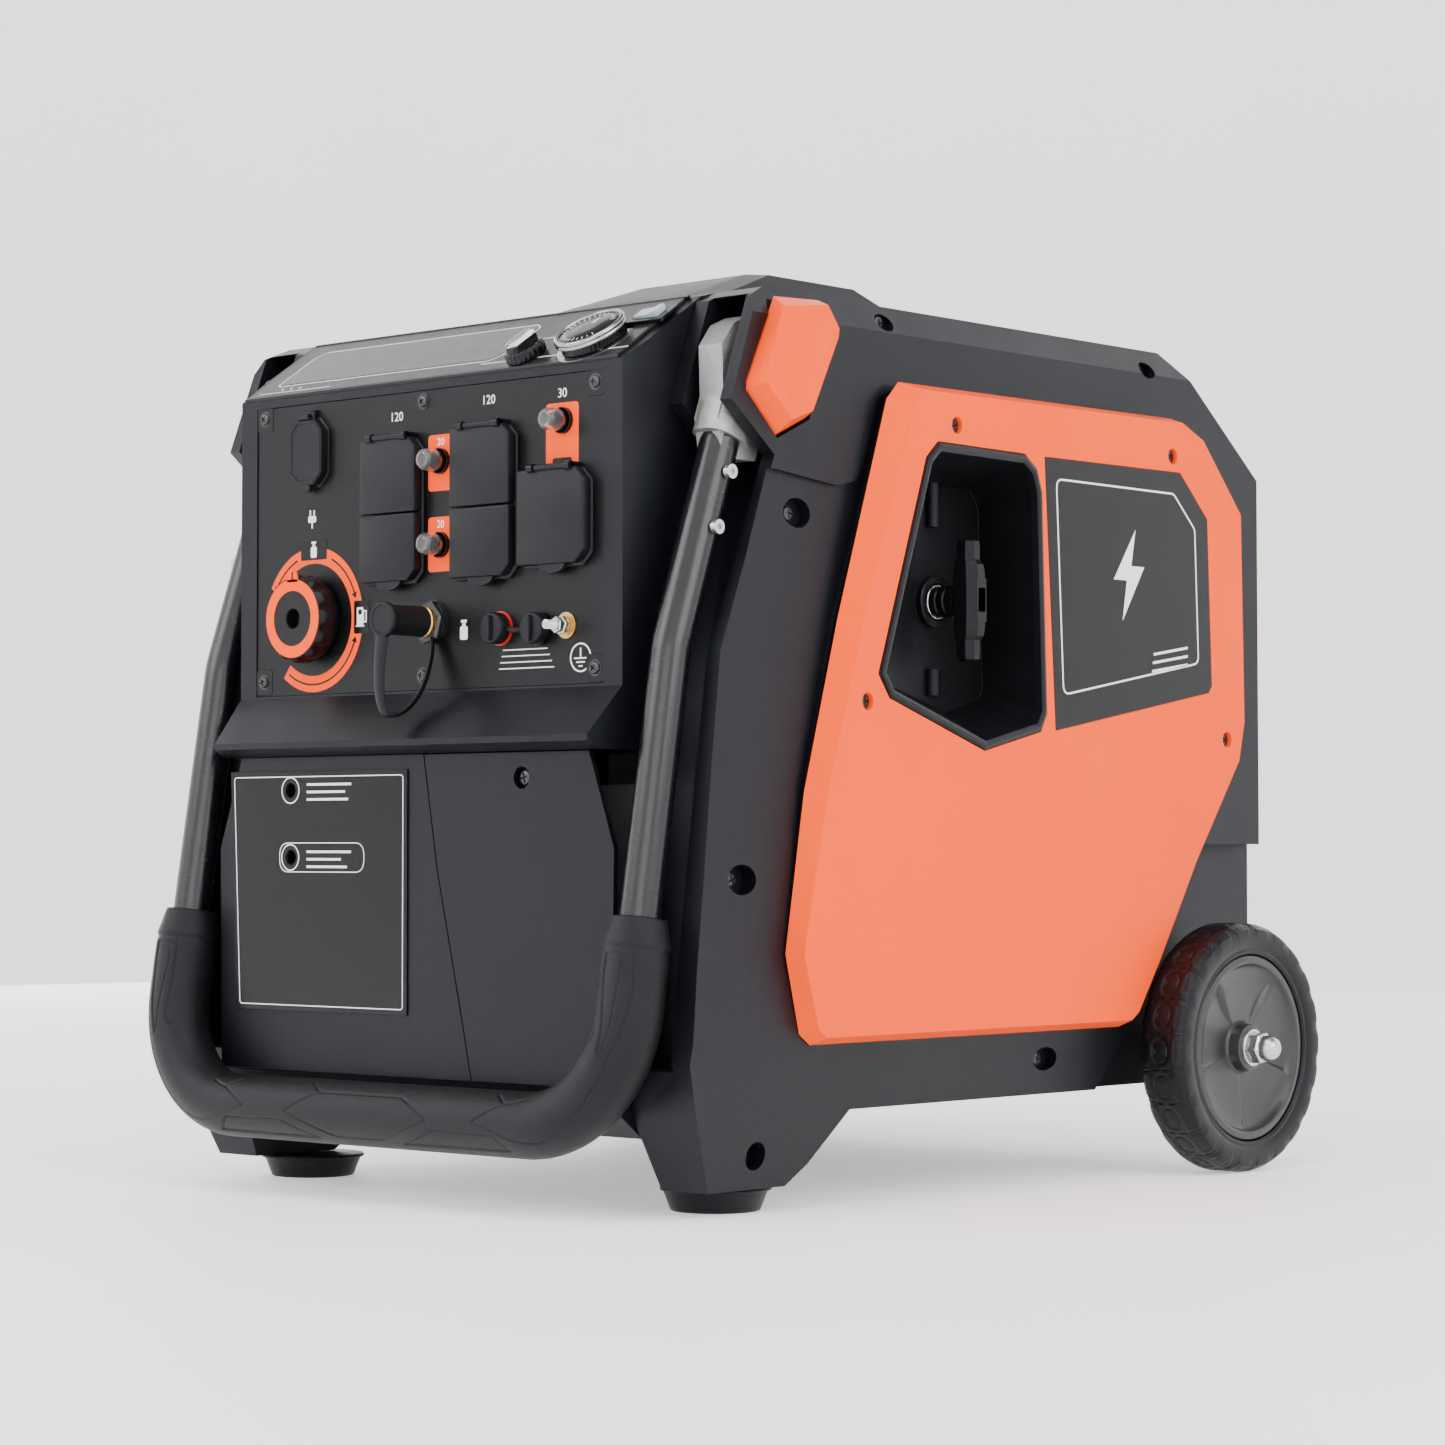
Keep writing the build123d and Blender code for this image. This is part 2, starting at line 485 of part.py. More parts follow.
latch = loft_x(LATCH_BASE, LATCH_BACK_X, LATCH_FACE, LATCH_FACE_X)
parts["right_latch_button"] = latch
parts["left_latch_button"] = other_side(latch)

# ---------------------------------------------------------------- wheels and axle
shoulder = 6.0
tyre_section = Polygon(
    (RIM_R, TYRE_X0 + 5), (WHEEL_R - shoulder, TYRE_X0), (WHEEL_R, TYRE_X0 + shoulder),
    (WHEEL_R, TYRE_X1 - shoulder), (WHEEL_R - shoulder, TYRE_X1), (RIM_R, TYRE_X1 - 5),
    align=None)
hub_section = Polygon(
    (AXLE_R + 0.05, TYRE_X0 - 2), (20, TYRE_X0 - 2), (22, TYRE_X0 + 12),
    (RIM_R - 6, TYRE_X0 + 14), (RIM_R - 4, TYRE_X0 + 5), (RIM_R, TYRE_X0 + 5),
    (RIM_R, TYRE_X1 - 5), (RIM_R - 5, TYRE_X1 - 3), (RIM_R - 10, TYRE_X1 - 9),
    (20, TYRE_X1 - 12), (16, TYRE_X1 - 2), (AXLE_R + 0.05, TYRE_X1 - 2), align=None)
wheel_plane = Plane(origin=(0, WHEEL_Y, WHEEL_R), x_dir=(0, 0, 1), z_dir=(0, -1, 0))


def turned(section):
    """Revolve an (r, x) section about the axle."""
    return revolve(wheel_plane * section, Axis((0, WHEEL_Y, WHEEL_R), (1, 0, 0)))


tyre, hub = turned(tyre_section), turned(hub_section)
parts["right_tyre"] = tyre
parts["left_tyre"] = other_side(tyre)
parts["right_wheel_hub"] = hub
parts["left_wheel_hub"] = other_side(hub)
AXLE_END = 301.0
parts["axle"] = rod_x(-AXLE_END, AXLE_END, WHEEL_Y, WHEEL_R, AXLE_R)
washer = rod_x(TYRE_X1 - 1.6, TYRE_X1 + 0.4, WHEEL_Y, WHEEL_R, 13)
nut_body = RegularPolygon(10, 6, major_radius=False)
nut = extrude(Plane.YZ.offset(TYRE_X1 + 0.4) * Pos(WHEEL_Y, WHEEL_R) * nut_body, 9)
nut += rod_x(TYRE_X1 + 9, TYRE_X1 + 12, WHEEL_Y, WHEEL_R, 9)
nut += Pos(TYRE_X1 + 12, WHEEL_Y, WHEEL_R) * Sphere(9)
axle_bore = rod_x(0, AXLE_END, WHEEL_Y, WHEEL_R, AXLE_R)
parts["axle_nuts"] = both_sides((nut + washer) - axle_bore)

# ---------------------------------------------------------------- screws
screws = []


def pan_head_y(x, z, y, r):
    return rod_y(y, y + 2, x, z, r) - block(x - 0.6, x + 0.6, y - 1, y + 1, z - r + 1, z + r - 1)


for x, z in PLATE_SCREWS:
    screws.append(pan_head_y(x, z, PLATE_FACE_Y - 2, 4) + rod_y(PLATE_FACE_Y - 1, -279, x, z, 1.7))
x, z = COVER_SCREW
screws.append(pan_head_y(x, z, COVER_BACK_Y + 1, 5) + rod_y(COVER_BACK_Y + 2, -280, x, z, 2.0))
for y, z, half_y, half_z, floor_x in SCREW_SPOTS:
    head = rod_x(floor_x, floor_x + 2.5, y, z, min(5.0, half_z - 0.5))
    screws += both_sides(head + rod_x(floor_x - 10, floor_x + 1, y, z, 2.5))
for y, z in ((-46, 507.5), (198.3, 506), (-138, 323), (264, 307)):
    head = rod_x(PANEL_FACE_X - 5, PANEL_FACE_X - 2, y, z, 5.0)
    head += rod_x(PANEL_BASE_X, PANEL_FACE_X - 4, y, z, 2.1)
    screws += both_sides(head)
parts["housing_screws"] = screws

# ---------------------------------------------------------------- electrical panel
sockets = []
for x, z, w, h in OUTLETS:
    body = block(x - w + 0.3, x + w - 0.3, PLATE_FACE_Y - 0.6, -252, z - h + 0.3, z + h - 0.3)
    for dx in (-6.5, 6.5):
        body -= block(x + dx - 1.2, x + dx + 1.2, -290, -270, z - 2, z + 7)
    body -= rod_y(-290, -270, x, z - 8, 2.6)
    sockets.append(body)
x, z, w, h = USB
usb = block(x - w + 0.3, x + w - 0.3, PLATE_FACE_Y - 0.6, -258, z - h + 0.3, z + h - 0.3)
usb -= block(x - 6.5, x + 6.5, -290, -272, z + 3, z + 8)
usb -= block(x - 4.5, x + 4.5, -290, -272, z - 8, z - 5)
sockets.append(usb)
parts["outlets"] = sockets

FLAP_Y0, FLAP_Y1 = -292.0, PLATE_FACE_Y - 0.9


def flap(x0, x1, z0, z1, cut):
    body = block(x0, x1, FLAP_Y0, FLAP_Y1, z0, z1)
    return chamfer(body.edges().filter_by(Axis.Y), cut)


FLAPS = {
    "outlet_a_upper_cover": (-52.5, 0.8, 450.2, 500),
    "outlet_a_lower_cover": (-52.5, 0.8, 405, 449.4),
    "outlet_b_upper_cover": (33.5, 88.5, 450.2, 502),
    "outlet_b_lower_cover": (33.5, 88.5, 404, 449.4),
    "outlet_c_cover": (96, 155.5, 409, 470),
    "usb_cover": (-125.5, -93.5, 474.5, 519),
}
for name, (x0, x1, z0, z1) in FLAPS.items():
    parts[name] = flap(x0, x1, z0, z1, 5)

breaker_bodies = []
BOOT_Y0, BOOT_Y1 = -301.0, PLATE_FACE_Y - 6.4
for index, (x, z) in enumerate(BREAKERS):
    breaker = rod_y(PLATE_FACE_Y - 3, PLATE_FACE_Y, x, z, 8.5)
    breaker += rod_y(PLATE_FACE_Y - 3, -240, x, z, 6.0)
    breaker += block(x - 12, x + 12, -274, -240, z - 9, z + 9)
    breaker -= rod_y(-300, -272, x, z, 4.2)
    breaker_bodies.append(breaker)
    button = rod_y(BOOT_Y0, BOOT_Y1, x, z, 7) + rod_y(BOOT_Y1, -278, x, z, 4.0)
    parts[f"breaker_button_{index + 1}"] = button
parts["breaker_bodies"] = breaker_bodies

selector = rod_y(-303, -299, SELECTOR_X, SELECTOR_Z, 26.7)
selector += rod_y(-299, -291, SELECTOR_X, SELECTOR_Z, 30)
selector += rod_y(-291, PLATE_FACE_Y - 0.4, SELECTOR_X, SELECTOR_Z, 27)
selector += rod_y(-285, -270, SELECTOR_X, SELECTOR_Z, 6.0)
selector -= rod_y(-304, -296, SELECTOR_X, SELECTOR_Z, 6.6)
parts["fuel_selector_knob"] = selector

fitting = hex_y(-291, PLATE_FACE_Y, LPG_X, LPG_Z, 26)
fitting += rod_y(-294, -291, LPG_X, LPG_Z, 10.5) + rod_y(-318, -294, LPG_X, LPG_Z, 8.4)
fitting += rod_y(-284, -262, LPG_X, LPG_Z, 8.0)
fitting -= rod_y(-320, -268, LPG_X, LPG_Z, 5)
parts["lpg_fitting"] = fitting
cap = rod_y(-329.5, -294.3, LPG_X, LPG_Z, 11.6) - rod_y(-319, -294, LPG_X, LPG_Z, 8.8)
cap += prism_y([(LPG_X - 9, LPG_Z), (LPG_X - 8, 322), (LPG_X - 2, 313), (LPG_X + 4, 322),
                (LPG_X - 1, LPG_Z - 8)], -329.5, -326)
parts["lpg_cap"] = cap

twin = []
for x, z in JACKS:
    twin.append(rod_y(-294, -284.2, x, z, 10.3) + rod_y(-285, -272, x, z, 4.2))
link = block(JACKS[0][0], JACKS[1][0], -286.4, -284.2, 367, 373)
parts["jack_caps"] = twin[0] + twin[1] + link
stud = rod_y(-303, -290.6, STUD_X, STUD_Z, 3.0) + rod_y(-290.6, -270, STUD_X, STUD_Z, SHANK_R)
nuts = rod_y(-285.4, PLATE_FACE_Y, STUD_X, STUD_Z, 8.5)
nuts += hex_y(-290.5, -285.4, STUD_X, STUD_Z, 11)
nuts -= rod_y(-300, -270, STUD_X, STUD_Z, SHANK_R + 0.1)
parts["ground_stud"] = [stud, nuts]

# ---------------------------------------------------------------- fuel tank and cap
TANK_Z0, TANK_Z1 = 480.0, 576.0
tank = block(-140, 140, -150, 100, TANK_Z0, TANK_Z1)
tank = fillet(tank.edges().filter_by(Axis.Z), 25)
tank += rod_z(TANK_Z1, 603, CAP_X, CAP_Y, NECK_R)
tank -= block(-136, 136, -146, 96, TANK_Z0 + 4, TANK_Z1 - 4)
tank -= rod_z(TANK_Z1 - 8, 610, CAP_X, CAP_Y, NECK_R - 4)
parts["fuel_tank"] = tank
fuel_cap = rod_z(TOP_Z + 2, 615, CAP_X, CAP_Y, CAP_R)
fuel_cap -= rod_z(TOP_Z, 603.4, CAP_X, CAP_Y, NECK_R + 0.4)
parts["fuel_cap"] = fuel_cap

# ---------------------------------------------------------------- engine and electrics
MOUNT_SPOTS = [(x, y) for x in (-110, 110) for y in (-120, 80)]
engine = block(-70, 60, -35, 115, 125, 320)
engine += block(-60, 50, -20, 100, 104, 126)
engine += block(-70, 20, -5, 170, 320, 430)
for i in range(7):
    engine -= block(-75, 8, 22 + 20 * i, 32 + 20 * i, 340, 435)
engine -= rod_x(20, 62, CRANK_Y, CRANK_Z, 16)
engine += block(-122, 122, -134, 92, 104, 112)
for x, y in MOUNT_SPOTS:
    engine += rod_z(84.4, 104, x, y, 14)
parts["engine_block"] = engine
stator = rod_x(60.4, 66, CRANK_Y, CRANK_Z, 60) + rod_x(66, 100, CRANK_Y, CRANK_Z, 52)
parts["stator"] = stator - rod_x(60, 101, CRANK_Y, CRANK_Z, 18)
rotor = rod_x(21, 112, CRANK_Y, CRANK_Z, 15) + rod_x(103, 112, CRANK_Y, CRANK_Z, 72)
rotor += rod_x(68, 104, CRANK_Y, CRANK_Z, 72) - rod_x(67, 104, CRANK_Y, CRANK_Z, 62)
parts["flywheel_rotor"] = rotor - rod_x(68, 103, CRANK_Y, CRANK_Z, 62) + rod_x(
    60, 104, CRANK_Y, CRANK_Z, 15)
pulley = rod_x(120, 134, CRANK_Y, CRANK_Z, PULLEY_R + 5)
groove = rod_x(124, 130, CRANK_Y, CRANK_Z, 70) - rod_x(124, 130, CRANK_Y, CRANK_Z, PULLEY_R)
parts["recoil_pulley"] = pulley - groove - rod_x(110, 140, CRANK_Y, CRANK_Z, 8)
muffler = block(40, 150, 120, 300, 345, 460)
muffler = fillet(muffler.edges().filter_by(Axis.Y), 22)
muffler += rod_y(300, 334, EXHAUST_X, EXHAUST_Z, 24)
parts["muffler"] = muffler - rod_y(290, 335, EXHAUST_X, EXHAUST_Z, 20)
air = block(-172, -92, -40, 110, 290, 400)
parts["air_cleaner"] = fillet(air.edges().filter_by(Axis.Z), 14)
inverter = block(-150, 150, -238, -200, 110, 270)
for i in range(14):
    inverter -= block(-146 + 21 * i, -134 + 21 * i, -214, -199, 105, 275)
parts["inverter_module"] = inverter
battery = block(-170, -85, 130, 220, 112, 200)
parts["battery"] = battery + rod_z(200, 212, -155, 145, 7) + rod_z(200, 212, -155, 205, 7)

# ---------------------------------------------------------------- write
os.makedirs("parts", exist_ok=True)
for name, shape in parts.items():
    pieces = shape if isinstance(shape, list) else [shape]
    solids = [solid for piece in pieces for solid in piece.solids()]
    export_step(Compound(children=solids), f"parts/{name}.step")
print(len(parts), "nodes")
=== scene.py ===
import math

import bmesh
import bpy
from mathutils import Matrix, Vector


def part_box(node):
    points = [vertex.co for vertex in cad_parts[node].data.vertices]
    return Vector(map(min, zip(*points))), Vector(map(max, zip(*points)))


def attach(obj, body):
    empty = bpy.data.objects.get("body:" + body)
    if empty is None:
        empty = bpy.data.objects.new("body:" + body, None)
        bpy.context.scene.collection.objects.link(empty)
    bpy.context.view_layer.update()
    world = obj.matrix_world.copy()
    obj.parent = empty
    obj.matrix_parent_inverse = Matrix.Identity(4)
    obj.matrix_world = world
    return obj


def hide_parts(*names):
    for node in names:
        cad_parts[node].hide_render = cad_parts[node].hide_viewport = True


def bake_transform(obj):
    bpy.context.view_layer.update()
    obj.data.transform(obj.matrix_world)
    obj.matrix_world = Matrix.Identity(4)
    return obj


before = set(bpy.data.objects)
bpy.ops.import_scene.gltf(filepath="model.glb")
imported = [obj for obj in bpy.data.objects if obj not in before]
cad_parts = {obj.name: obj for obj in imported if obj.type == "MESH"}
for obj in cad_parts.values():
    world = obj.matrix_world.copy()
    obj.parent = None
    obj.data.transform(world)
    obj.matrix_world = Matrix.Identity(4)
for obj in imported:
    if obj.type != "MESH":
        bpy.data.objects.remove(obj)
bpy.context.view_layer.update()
MM = 0.001


def corners(node):
    """Lowest and highest corner of a CAD node, in millimetres."""
    return [[round(c / MM, 3) for c in corner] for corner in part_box(node)]


def middle(node, *axes):
    """Middle of a CAD node's box along the given axes, in millimetres."""
    low, high = corners(node)
    return tuple(round((low[i] + high[i]) / 2, 3) for i in axes)


# ------------------------------------------------------------------ materials
def tone(color, factor):
    return tuple(min(1.0, c * factor) for c in color[:3]) + (1.0,)


def tuned(node, **values):
    """Sets a node's own sockets by name, with _ for a space."""
    for key, value in values.items():
        node.inputs[key.replace("_", " ")].default_value = value
    return node


def material(name, color, rough, metallic, vary, vary_scale, grain, grain_depth, rough_vary=0.08,
             coat=0.0, pits=None, **sockets):
    """Principled surface: two close colours in soft clouds, uneven roughness and a fine grain."""
    mat = bpy.data.materials.new(name)
    mat.use_nodes = True
    nodes, links = mat.node_tree.nodes, mat.node_tree.links
    shader = tuned(nodes["Principled BSDF"], Metallic=metallic, Coat_Weight=coat,
                   Coat_Roughness=0.15, **sockets)
    coords = nodes.new("ShaderNodeTexCoord")
    place = nodes.new("ShaderNodeMapping")
    links.new(coords.outputs["Object"], place.inputs["Vector"])

    def noise(scale, detail):
        node = tuned(nodes.new("ShaderNodeTexNoise"), Scale=scale, Detail=detail, Roughness=0.55)
        links.new(place.outputs["Vector"], node.inputs["Vector"])
        return node

    clouds = noise(vary_scale, 4.0)
    ramp = nodes.new("ShaderNodeValToRGB")
    ramp.color_ramp.elements[0].position = 0.3
    ramp.color_ramp.elements[1].position = 0.7
    ramp.color_ramp.elements[0].color = tone(color, 1.0 - vary)
    ramp.color_ramp.elements[1].color = tone(color, 1.0 + vary)
    links.new(clouds.outputs["Fac"], ramp.inputs["Fac"])
    links.new(ramp.outputs["Color"], shader.inputs["Base Color"])
    spread = tuned(nodes.new("ShaderNodeMapRange"), To_Min=max(0.02, rough - rough_vary),
                   To_Max=min(1.0, rough + rough_vary))
    links.new(noise(vary_scale * 4, 5.0).outputs["Fac"], spread.inputs["Value"])
    links.new(spread.outputs["Result"], shader.inputs["Roughness"])

    def bump_from(height, distance):
        node = tuned(nodes.new("ShaderNodeBump"), Strength=grain_depth, Distance=distance)
        links.new(height, node.inputs["Height"])
        return node

    bump = bump_from(noise(grain, 3.0).outputs["Fac"], 0.0004)
    if pits:
        cells = tuned(nodes.new("ShaderNodeTexVoronoi"), Scale=pits)
        links.new(place.outputs["Vector"], cells.inputs["Vector"])
        second = bump_from(cells.outputs["Distance"], 0.0003)
        links.new(bump.outputs["Normal"], second.inputs["Normal"])
        bump = second
    links.new(bump.outputs["Normal"], shader.inputs["Normal"])
    return mat


DULL = {"Specular_IOR_Level": 0.4, "Specular_Tint": (0.5, 0.51, 0.56, 1.0)}
WARM_TINT = (1.0, 0.42, 0.16, 1.0)
# key: name, colour, roughness, metallic, variation, its scale, grain, its depth, other sockets
MATERIALS = {
    "housing": ("housing_plastic", (0.0028, 0.0033, 0.0050), 0.40, 0.0, 0.10, 9, 1500, 0.12,
                {**DULL, "pits": 900}),
    "orange": ("orange_plastic", (1.0, 0.072, 0.0), 0.34, 0.0, 0.05, 7, 1300, 0.07,
               {"rough_vary": 0.05, "Specular_IOR_Level": 0.12, "Specular_Tint": WARM_TINT}),
    "plate": ("control_plate_paint", (0.0032, 0.0029, 0.0031), 0.36, 0.0, 0.08, 20, 2200, 0.06, DULL),
    "display": ("display_film", (0.018, 0.017, 0.0165), 0.3, 0.0, 0.10, 14, 1800, 0.05, DULL),
    "lens": ("display_window", (0.036, 0.034, 0.030), 0.2, 0.0, 0.12, 18, 900, 0.02, DULL),
    "decal": ("decal_film", (0.004, 0.004, 0.0043), 0.2, 0.0, 0.1, 25, 1800, 0.03, DULL),
    "white": ("white_print", (0.80, 0.80, 0.79), 0.5, 0.0, 0.03, 60, 2500, 0.05, {}),
    "print_orange": ("orange_print", (1.0, 0.07, 0.0), 0.42, 0.0, 0.04, 60, 2200, 0.05,
                     {"Specular_IOR_Level": 0.15, "Specular_Tint": WARM_TINT}),
    "recess": ("pocket_plastic", (0.004, 0.0044, 0.0054), 0.4, 0.0, 0.12, 18, 1500, 0.1, DULL),
    "gloss_black": ("gloss_black_plastic", (0.004, 0.004, 0.0046), 0.18, 0.0, 0.1, 30, 900, 0.03, DULL),
    "satin_black": ("satin_black_plastic", (0.0036, 0.0036, 0.004), 0.36, 0.0, 0.1, 35, 1800, 0.08,
                    DULL),
    "rubber": ("black_rubber", (0.0036, 0.0038, 0.0044), 0.46, 0.0, 0.15, 45, 1700, 0.12, DULL),
    "foam": ("grip_foam", (0.0038, 0.0038, 0.0044), 0.46, 0.0, 0.12, 30, 2600, 0.3,
             {**DULL, "pits": 1600}),
    "tyre": ("tyre_rubber", (0.0036, 0.0038, 0.0042), 0.42, 0.0, 0.15, 22, 1400, 0.1, DULL),
    "wheel": ("wheel_plastic", (0.017, 0.0165, 0.0165), 0.34, 0.0, 0.08, 16, 1400, 0.06, {}),
    "tube": ("handle_paint", (0.0035, 0.004, 0.0055), 0.26, 0.2, 0.08, 14, 2000, 0.1, {"coat": 0.25}),
    "cast": ("cast_aluminium", (0.36, 0.355, 0.35), 0.48, 0.85, 0.14, 70, 1100, 0.5, {"pits": 700}),
    "zinc": ("zinc_plate", (0.56, 0.58, 0.6), 0.26, 1.0, 0.14, 80, 1500, 0.1, {}),
    "dark_steel": ("dark_screws", (0.06, 0.06, 0.063), 0.34, 0.9, 0.15, 90, 1500, 0.12, {}),
    "brass": ("brass", (0.62, 0.38, 0.12), 0.28, 1.0, 0.12, 90, 1400, 0.1, {}),
    "chrome": ("chrome", (0.36, 0.36, 0.37), 0.10, 1.0, 0.05, 60, 900, 0.02, {"rough_vary": 0.04}),
    "smoke": ("clear_boot", (0.96, 0.97, 0.98), 0.07, 0.0, 0.08, 60, 900, 0.06,
              {"Transmission_Weight": 0.97, "IOR": 1.25}),
    "pale": ("pale_switch", (0.36, 0.42, 0.46), 0.32, 0.0, 0.08, 60, 1200, 0.05, {"coat": 0.3}),
    "red": ("red_ring", (0.5, 0.015, 0.012), 0.35, 0.0, 0.1, 80, 1500, 0.05, {}),
    "rope": ("braided_rope", (0.02, 0.02, 0.022), 0.8, 0.0, 0.3, 500, 1200, 0.8, {}),
    "engine": ("engine_casting", (0.30, 0.30, 0.30), 0.5, 0.8, 0.15, 40, 800, 0.4, {}),
    "iron": ("machined_iron", (0.10, 0.10, 0.10), 0.4, 0.9, 0.2, 50, 900, 0.2, {}),
    "copper": ("copper_winding", (0.55, 0.22, 0.09), 0.35, 0.9, 0.2, 200, 900, 0.3, {}),
    "muffler": ("muffler_steel", (0.16, 0.145, 0.13), 0.5, 0.8, 0.3, 20, 600, 0.2, {}),
    "floor": ("floor", (0.90, 0.90, 0.90), 0.6, 0.0, 0.01, 3, 60, 0.01,
              {"Emission_Color": (1, 1, 1, 1), "Emission_Strength": 0.55}),
}
MAT = {key: material(*row[:-1], **row[-1]) for key, row in MATERIALS.items()}


# ------------------------------------------------------------------ CAD nodes
SLOTTED = ("left_side_panel",)  # its slots don't stand dissolving


def smooth_group():
    """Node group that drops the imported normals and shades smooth, leaving the mesh itself alone."""
    group = bpy.data.node_groups.new("plain_shading", "GeometryNodeTree")
    group.interface.new_socket("Geometry", in_out="INPUT", socket_type="NodeSocketGeometry")
    group.interface.new_socket("Geometry", in_out="OUTPUT", socket_type="NodeSocketGeometry")
    start, end = group.nodes.new("NodeGroupInput"), group.nodes.new("NodeGroupOutput")
    drop = group.nodes.new("GeometryNodeRemoveAttribute")
    drop.inputs["Name"].default_value = "custom_normal"
    shade = group.nodes.new("GeometryNodeSetShadeSmooth")
    group.links.new(start.outputs[0], drop.inputs["Geometry"])
    group.links.new(drop.outputs["Geometry"], shade.inputs["Geometry"])
    group.links.new(shade.outputs["Geometry"], end.inputs[0])
    return group


def add_bevel(obj, width, segments, angle):
    edge = obj.modifiers.new("bevel", "BEVEL")
    edge.width = width * MM
    edge.segments = segments
    edge.limit_method = "ANGLE"
    edge.angle_limit = math.radians(angle)
    edge.harden_normals = True
    return edge


PLAIN_SHADING = smooth_group()


def finish_cad(node, mat, bevel):
    """Gives a carried-over CAD node its material and rounded edges."""
    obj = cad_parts[node]
    obj.data.materials.clear()
    obj.data.materials.append(MAT[mat])
    obj.modifiers.new("plain_shading", "NODES").node_group = PLAIN_SHADING
    obj.modifiers.new("weld", "WELD").merge_threshold = 0.00002
    if node not in SLOTTED:
        flat = obj.modifiers.new("flat_faces", "DECIMATE")
        flat.decimate_type = "DISSOLVE"
        flat.angle_limit = math.radians(1.0)
    if bevel:
        edge = add_bevel(obj, bevel, 3, 30.0)
        edge.use_clamp_overlap = True
        edge.miter_outer = "MITER_ARC"
        if node in SLOTTED:
            obj.modifiers.new("even_shading", "WEIGHTED_NORMAL").keep_sharp = True
    else:
        obj.modifiers.new("sharp_edges", "EDGE_SPLIT").split_angle = math.radians(34)


# material, bevel in millimetres: the nodes that get them
CAD_LOOKS = {
    ("housing", 3.0): "right_side_shell left_side_shell top_cover",
    ("housing", 2.0): "front_fascia base_pan",
    ("plate", 0.4): "control_plate",
    ("display", 0.5): "display_panel",
    ("housing", 1.2): "lower_front_cover maintenance_cover",
    ("decal", 0.25): "label_plates",
    ("housing", 1.5): "rear_cover",
    ("orange", 2.2): "right_side_panel",
    ("orange", 0.9): "left_side_panel",
    ("recess", 1.5): "starter_pocket",
    ("zinc", 0.8): "rope_guide",
    ("dark_steel", 0.3): "housing_screws",
    ("rubber", 1.2): "front_feet outlet_a_upper_cover outlet_a_lower_cover outlet_b_upper_cover "
                     "outlet_b_lower_cover outlet_c_cover usb_cover",
    ("zinc", 0.6): "axle",
    ("zinc", 0.5): "axle_nuts handle_hardware",
    ("wheel", 1.2): "right_wheel_hub left_wheel_hub",
    ("tyre", 3.0): "right_tyre left_tyre",
    ("satin_black", 2.0): "fuel_tank fuel_cap air_cleaner starter_grip",
    ("engine", 1.0): "engine_block",
    ("iron", 0.8): "flywheel_rotor",
    ("copper", 0.8): "stator",
    ("satin_black", 0.6): "recoil_pulley breaker_bodies",
    ("muffler", 1.5): "muffler",
    ("engine", 0.6): "inverter_module",
    ("satin_black", 1.0): "battery fuel_selector_knob mode_knob",
    ("satin_black", 0.4): "outlets",
    ("smoke", 1.0): "breaker_button_1 breaker_button_2 breaker_button_3",
    ("brass", 0.4): "lpg_fitting",
    ("rubber", 1.0): "lpg_cap",
    ("rubber", 0.8): "jack_caps",
    ("brass", 0.3): "ground_stud",
    ("tube", 0.0): "handle_tube",
    ("foam", 1.5): "handle_grip",
    ("cast", 0.0): "handle_brackets",
    ("orange", 1.8): "right_latch_button left_latch_button",
    ("gloss_black", 0.8): "start_dial",
    ("pale", 0.8): "rocker_switch",
    ("rope", 0.0): "starter_rope",
}
for (cad_mat, cad_bevel), cad_nodes in CAD_LOOKS.items():
    for cad_node in cad_nodes.split():
        finish_cad(cad_node, cad_mat, cad_bevel)


# ------------------------------------------------------------------ mesh helpers (millimetres)
def front(y):
    return lambda u, v, w: (u, y - w, v)


def rear(y):
    return lambda u, v, w: (u, y + w, v)


def side(sign, x):
    return lambda u, v, w: (sign * (x + w), u, v)


def lid(z):
    return lambda u, v, w: (u, v, z + w)


SLOPE_BASE, SLOPE_TOP = (-284.0, 536.0), (-215.2, 581.9)
SLOPE_LEN = math.dist(SLOPE_BASE, SLOPE_TOP)
SLOPE_U = ((SLOPE_TOP[0] - SLOPE_BASE[0]) / SLOPE_LEN, (SLOPE_TOP[1] - SLOPE_BASE[1]) / SLOPE_LEN)


def slope(x, along):
    """Frame on the display slope: u along X, v up the slope, w away from it."""
    return lambda u, v, w: (x + u, SLOPE_BASE[0] + (along + v) * SLOPE_U[0] - w * SLOPE_U[1],
                            SLOPE_BASE[1] + (along + v) * SLOPE_U[1] + w * SLOPE_U[0])


def polar(r, a, cx=0.0, cy=0.0):
    return cx + r * math.cos(a), cy + r * math.sin(a)


PRINT = 0.12  # thickness of one printed layer


def circle(r, n=48, cx=0.0, cy=0.0):
    return [polar(r, 2 * math.pi * i / n, cx, cy) for i in range(n)]


def rect(x0, x1, y0, y1):
    return [(x0, y0), (x1, y0), (x1, y1), (x0, y1)]


def area(points):
    return sum(a[0] * b[1] - b[0] * a[1] for a, b in zip(points, points[1:] + points[:1])) / 2


def rounded(points, radius, steps=5):
    """Closed outline with every corner rounded, anticlockwise."""
    if area(points) < 0:
        points = points[::-1]
    out = []
    n = len(points)
    for i in range(n):
        p = Vector(points[i])
        a = Vector(points[i - 1]) - p
        b = Vector(points[(i + 1) % n]) - p
        r = radius[i] if isinstance(radius, (list, tuple)) else radius
        half = a.angle(b) / 2
        run = min(r / math.tan(half), 0.45 * min(a.length, b.length))
        start, end = p + a.normalized() * run, p + b.normalized() * run
        for k in range(steps + 1):
            t = k / steps
            q = start * (1 - t) ** 2 + p * 2 * t * (1 - t) + end * t ** 2
            out.append((q.x, q.y))
    return out


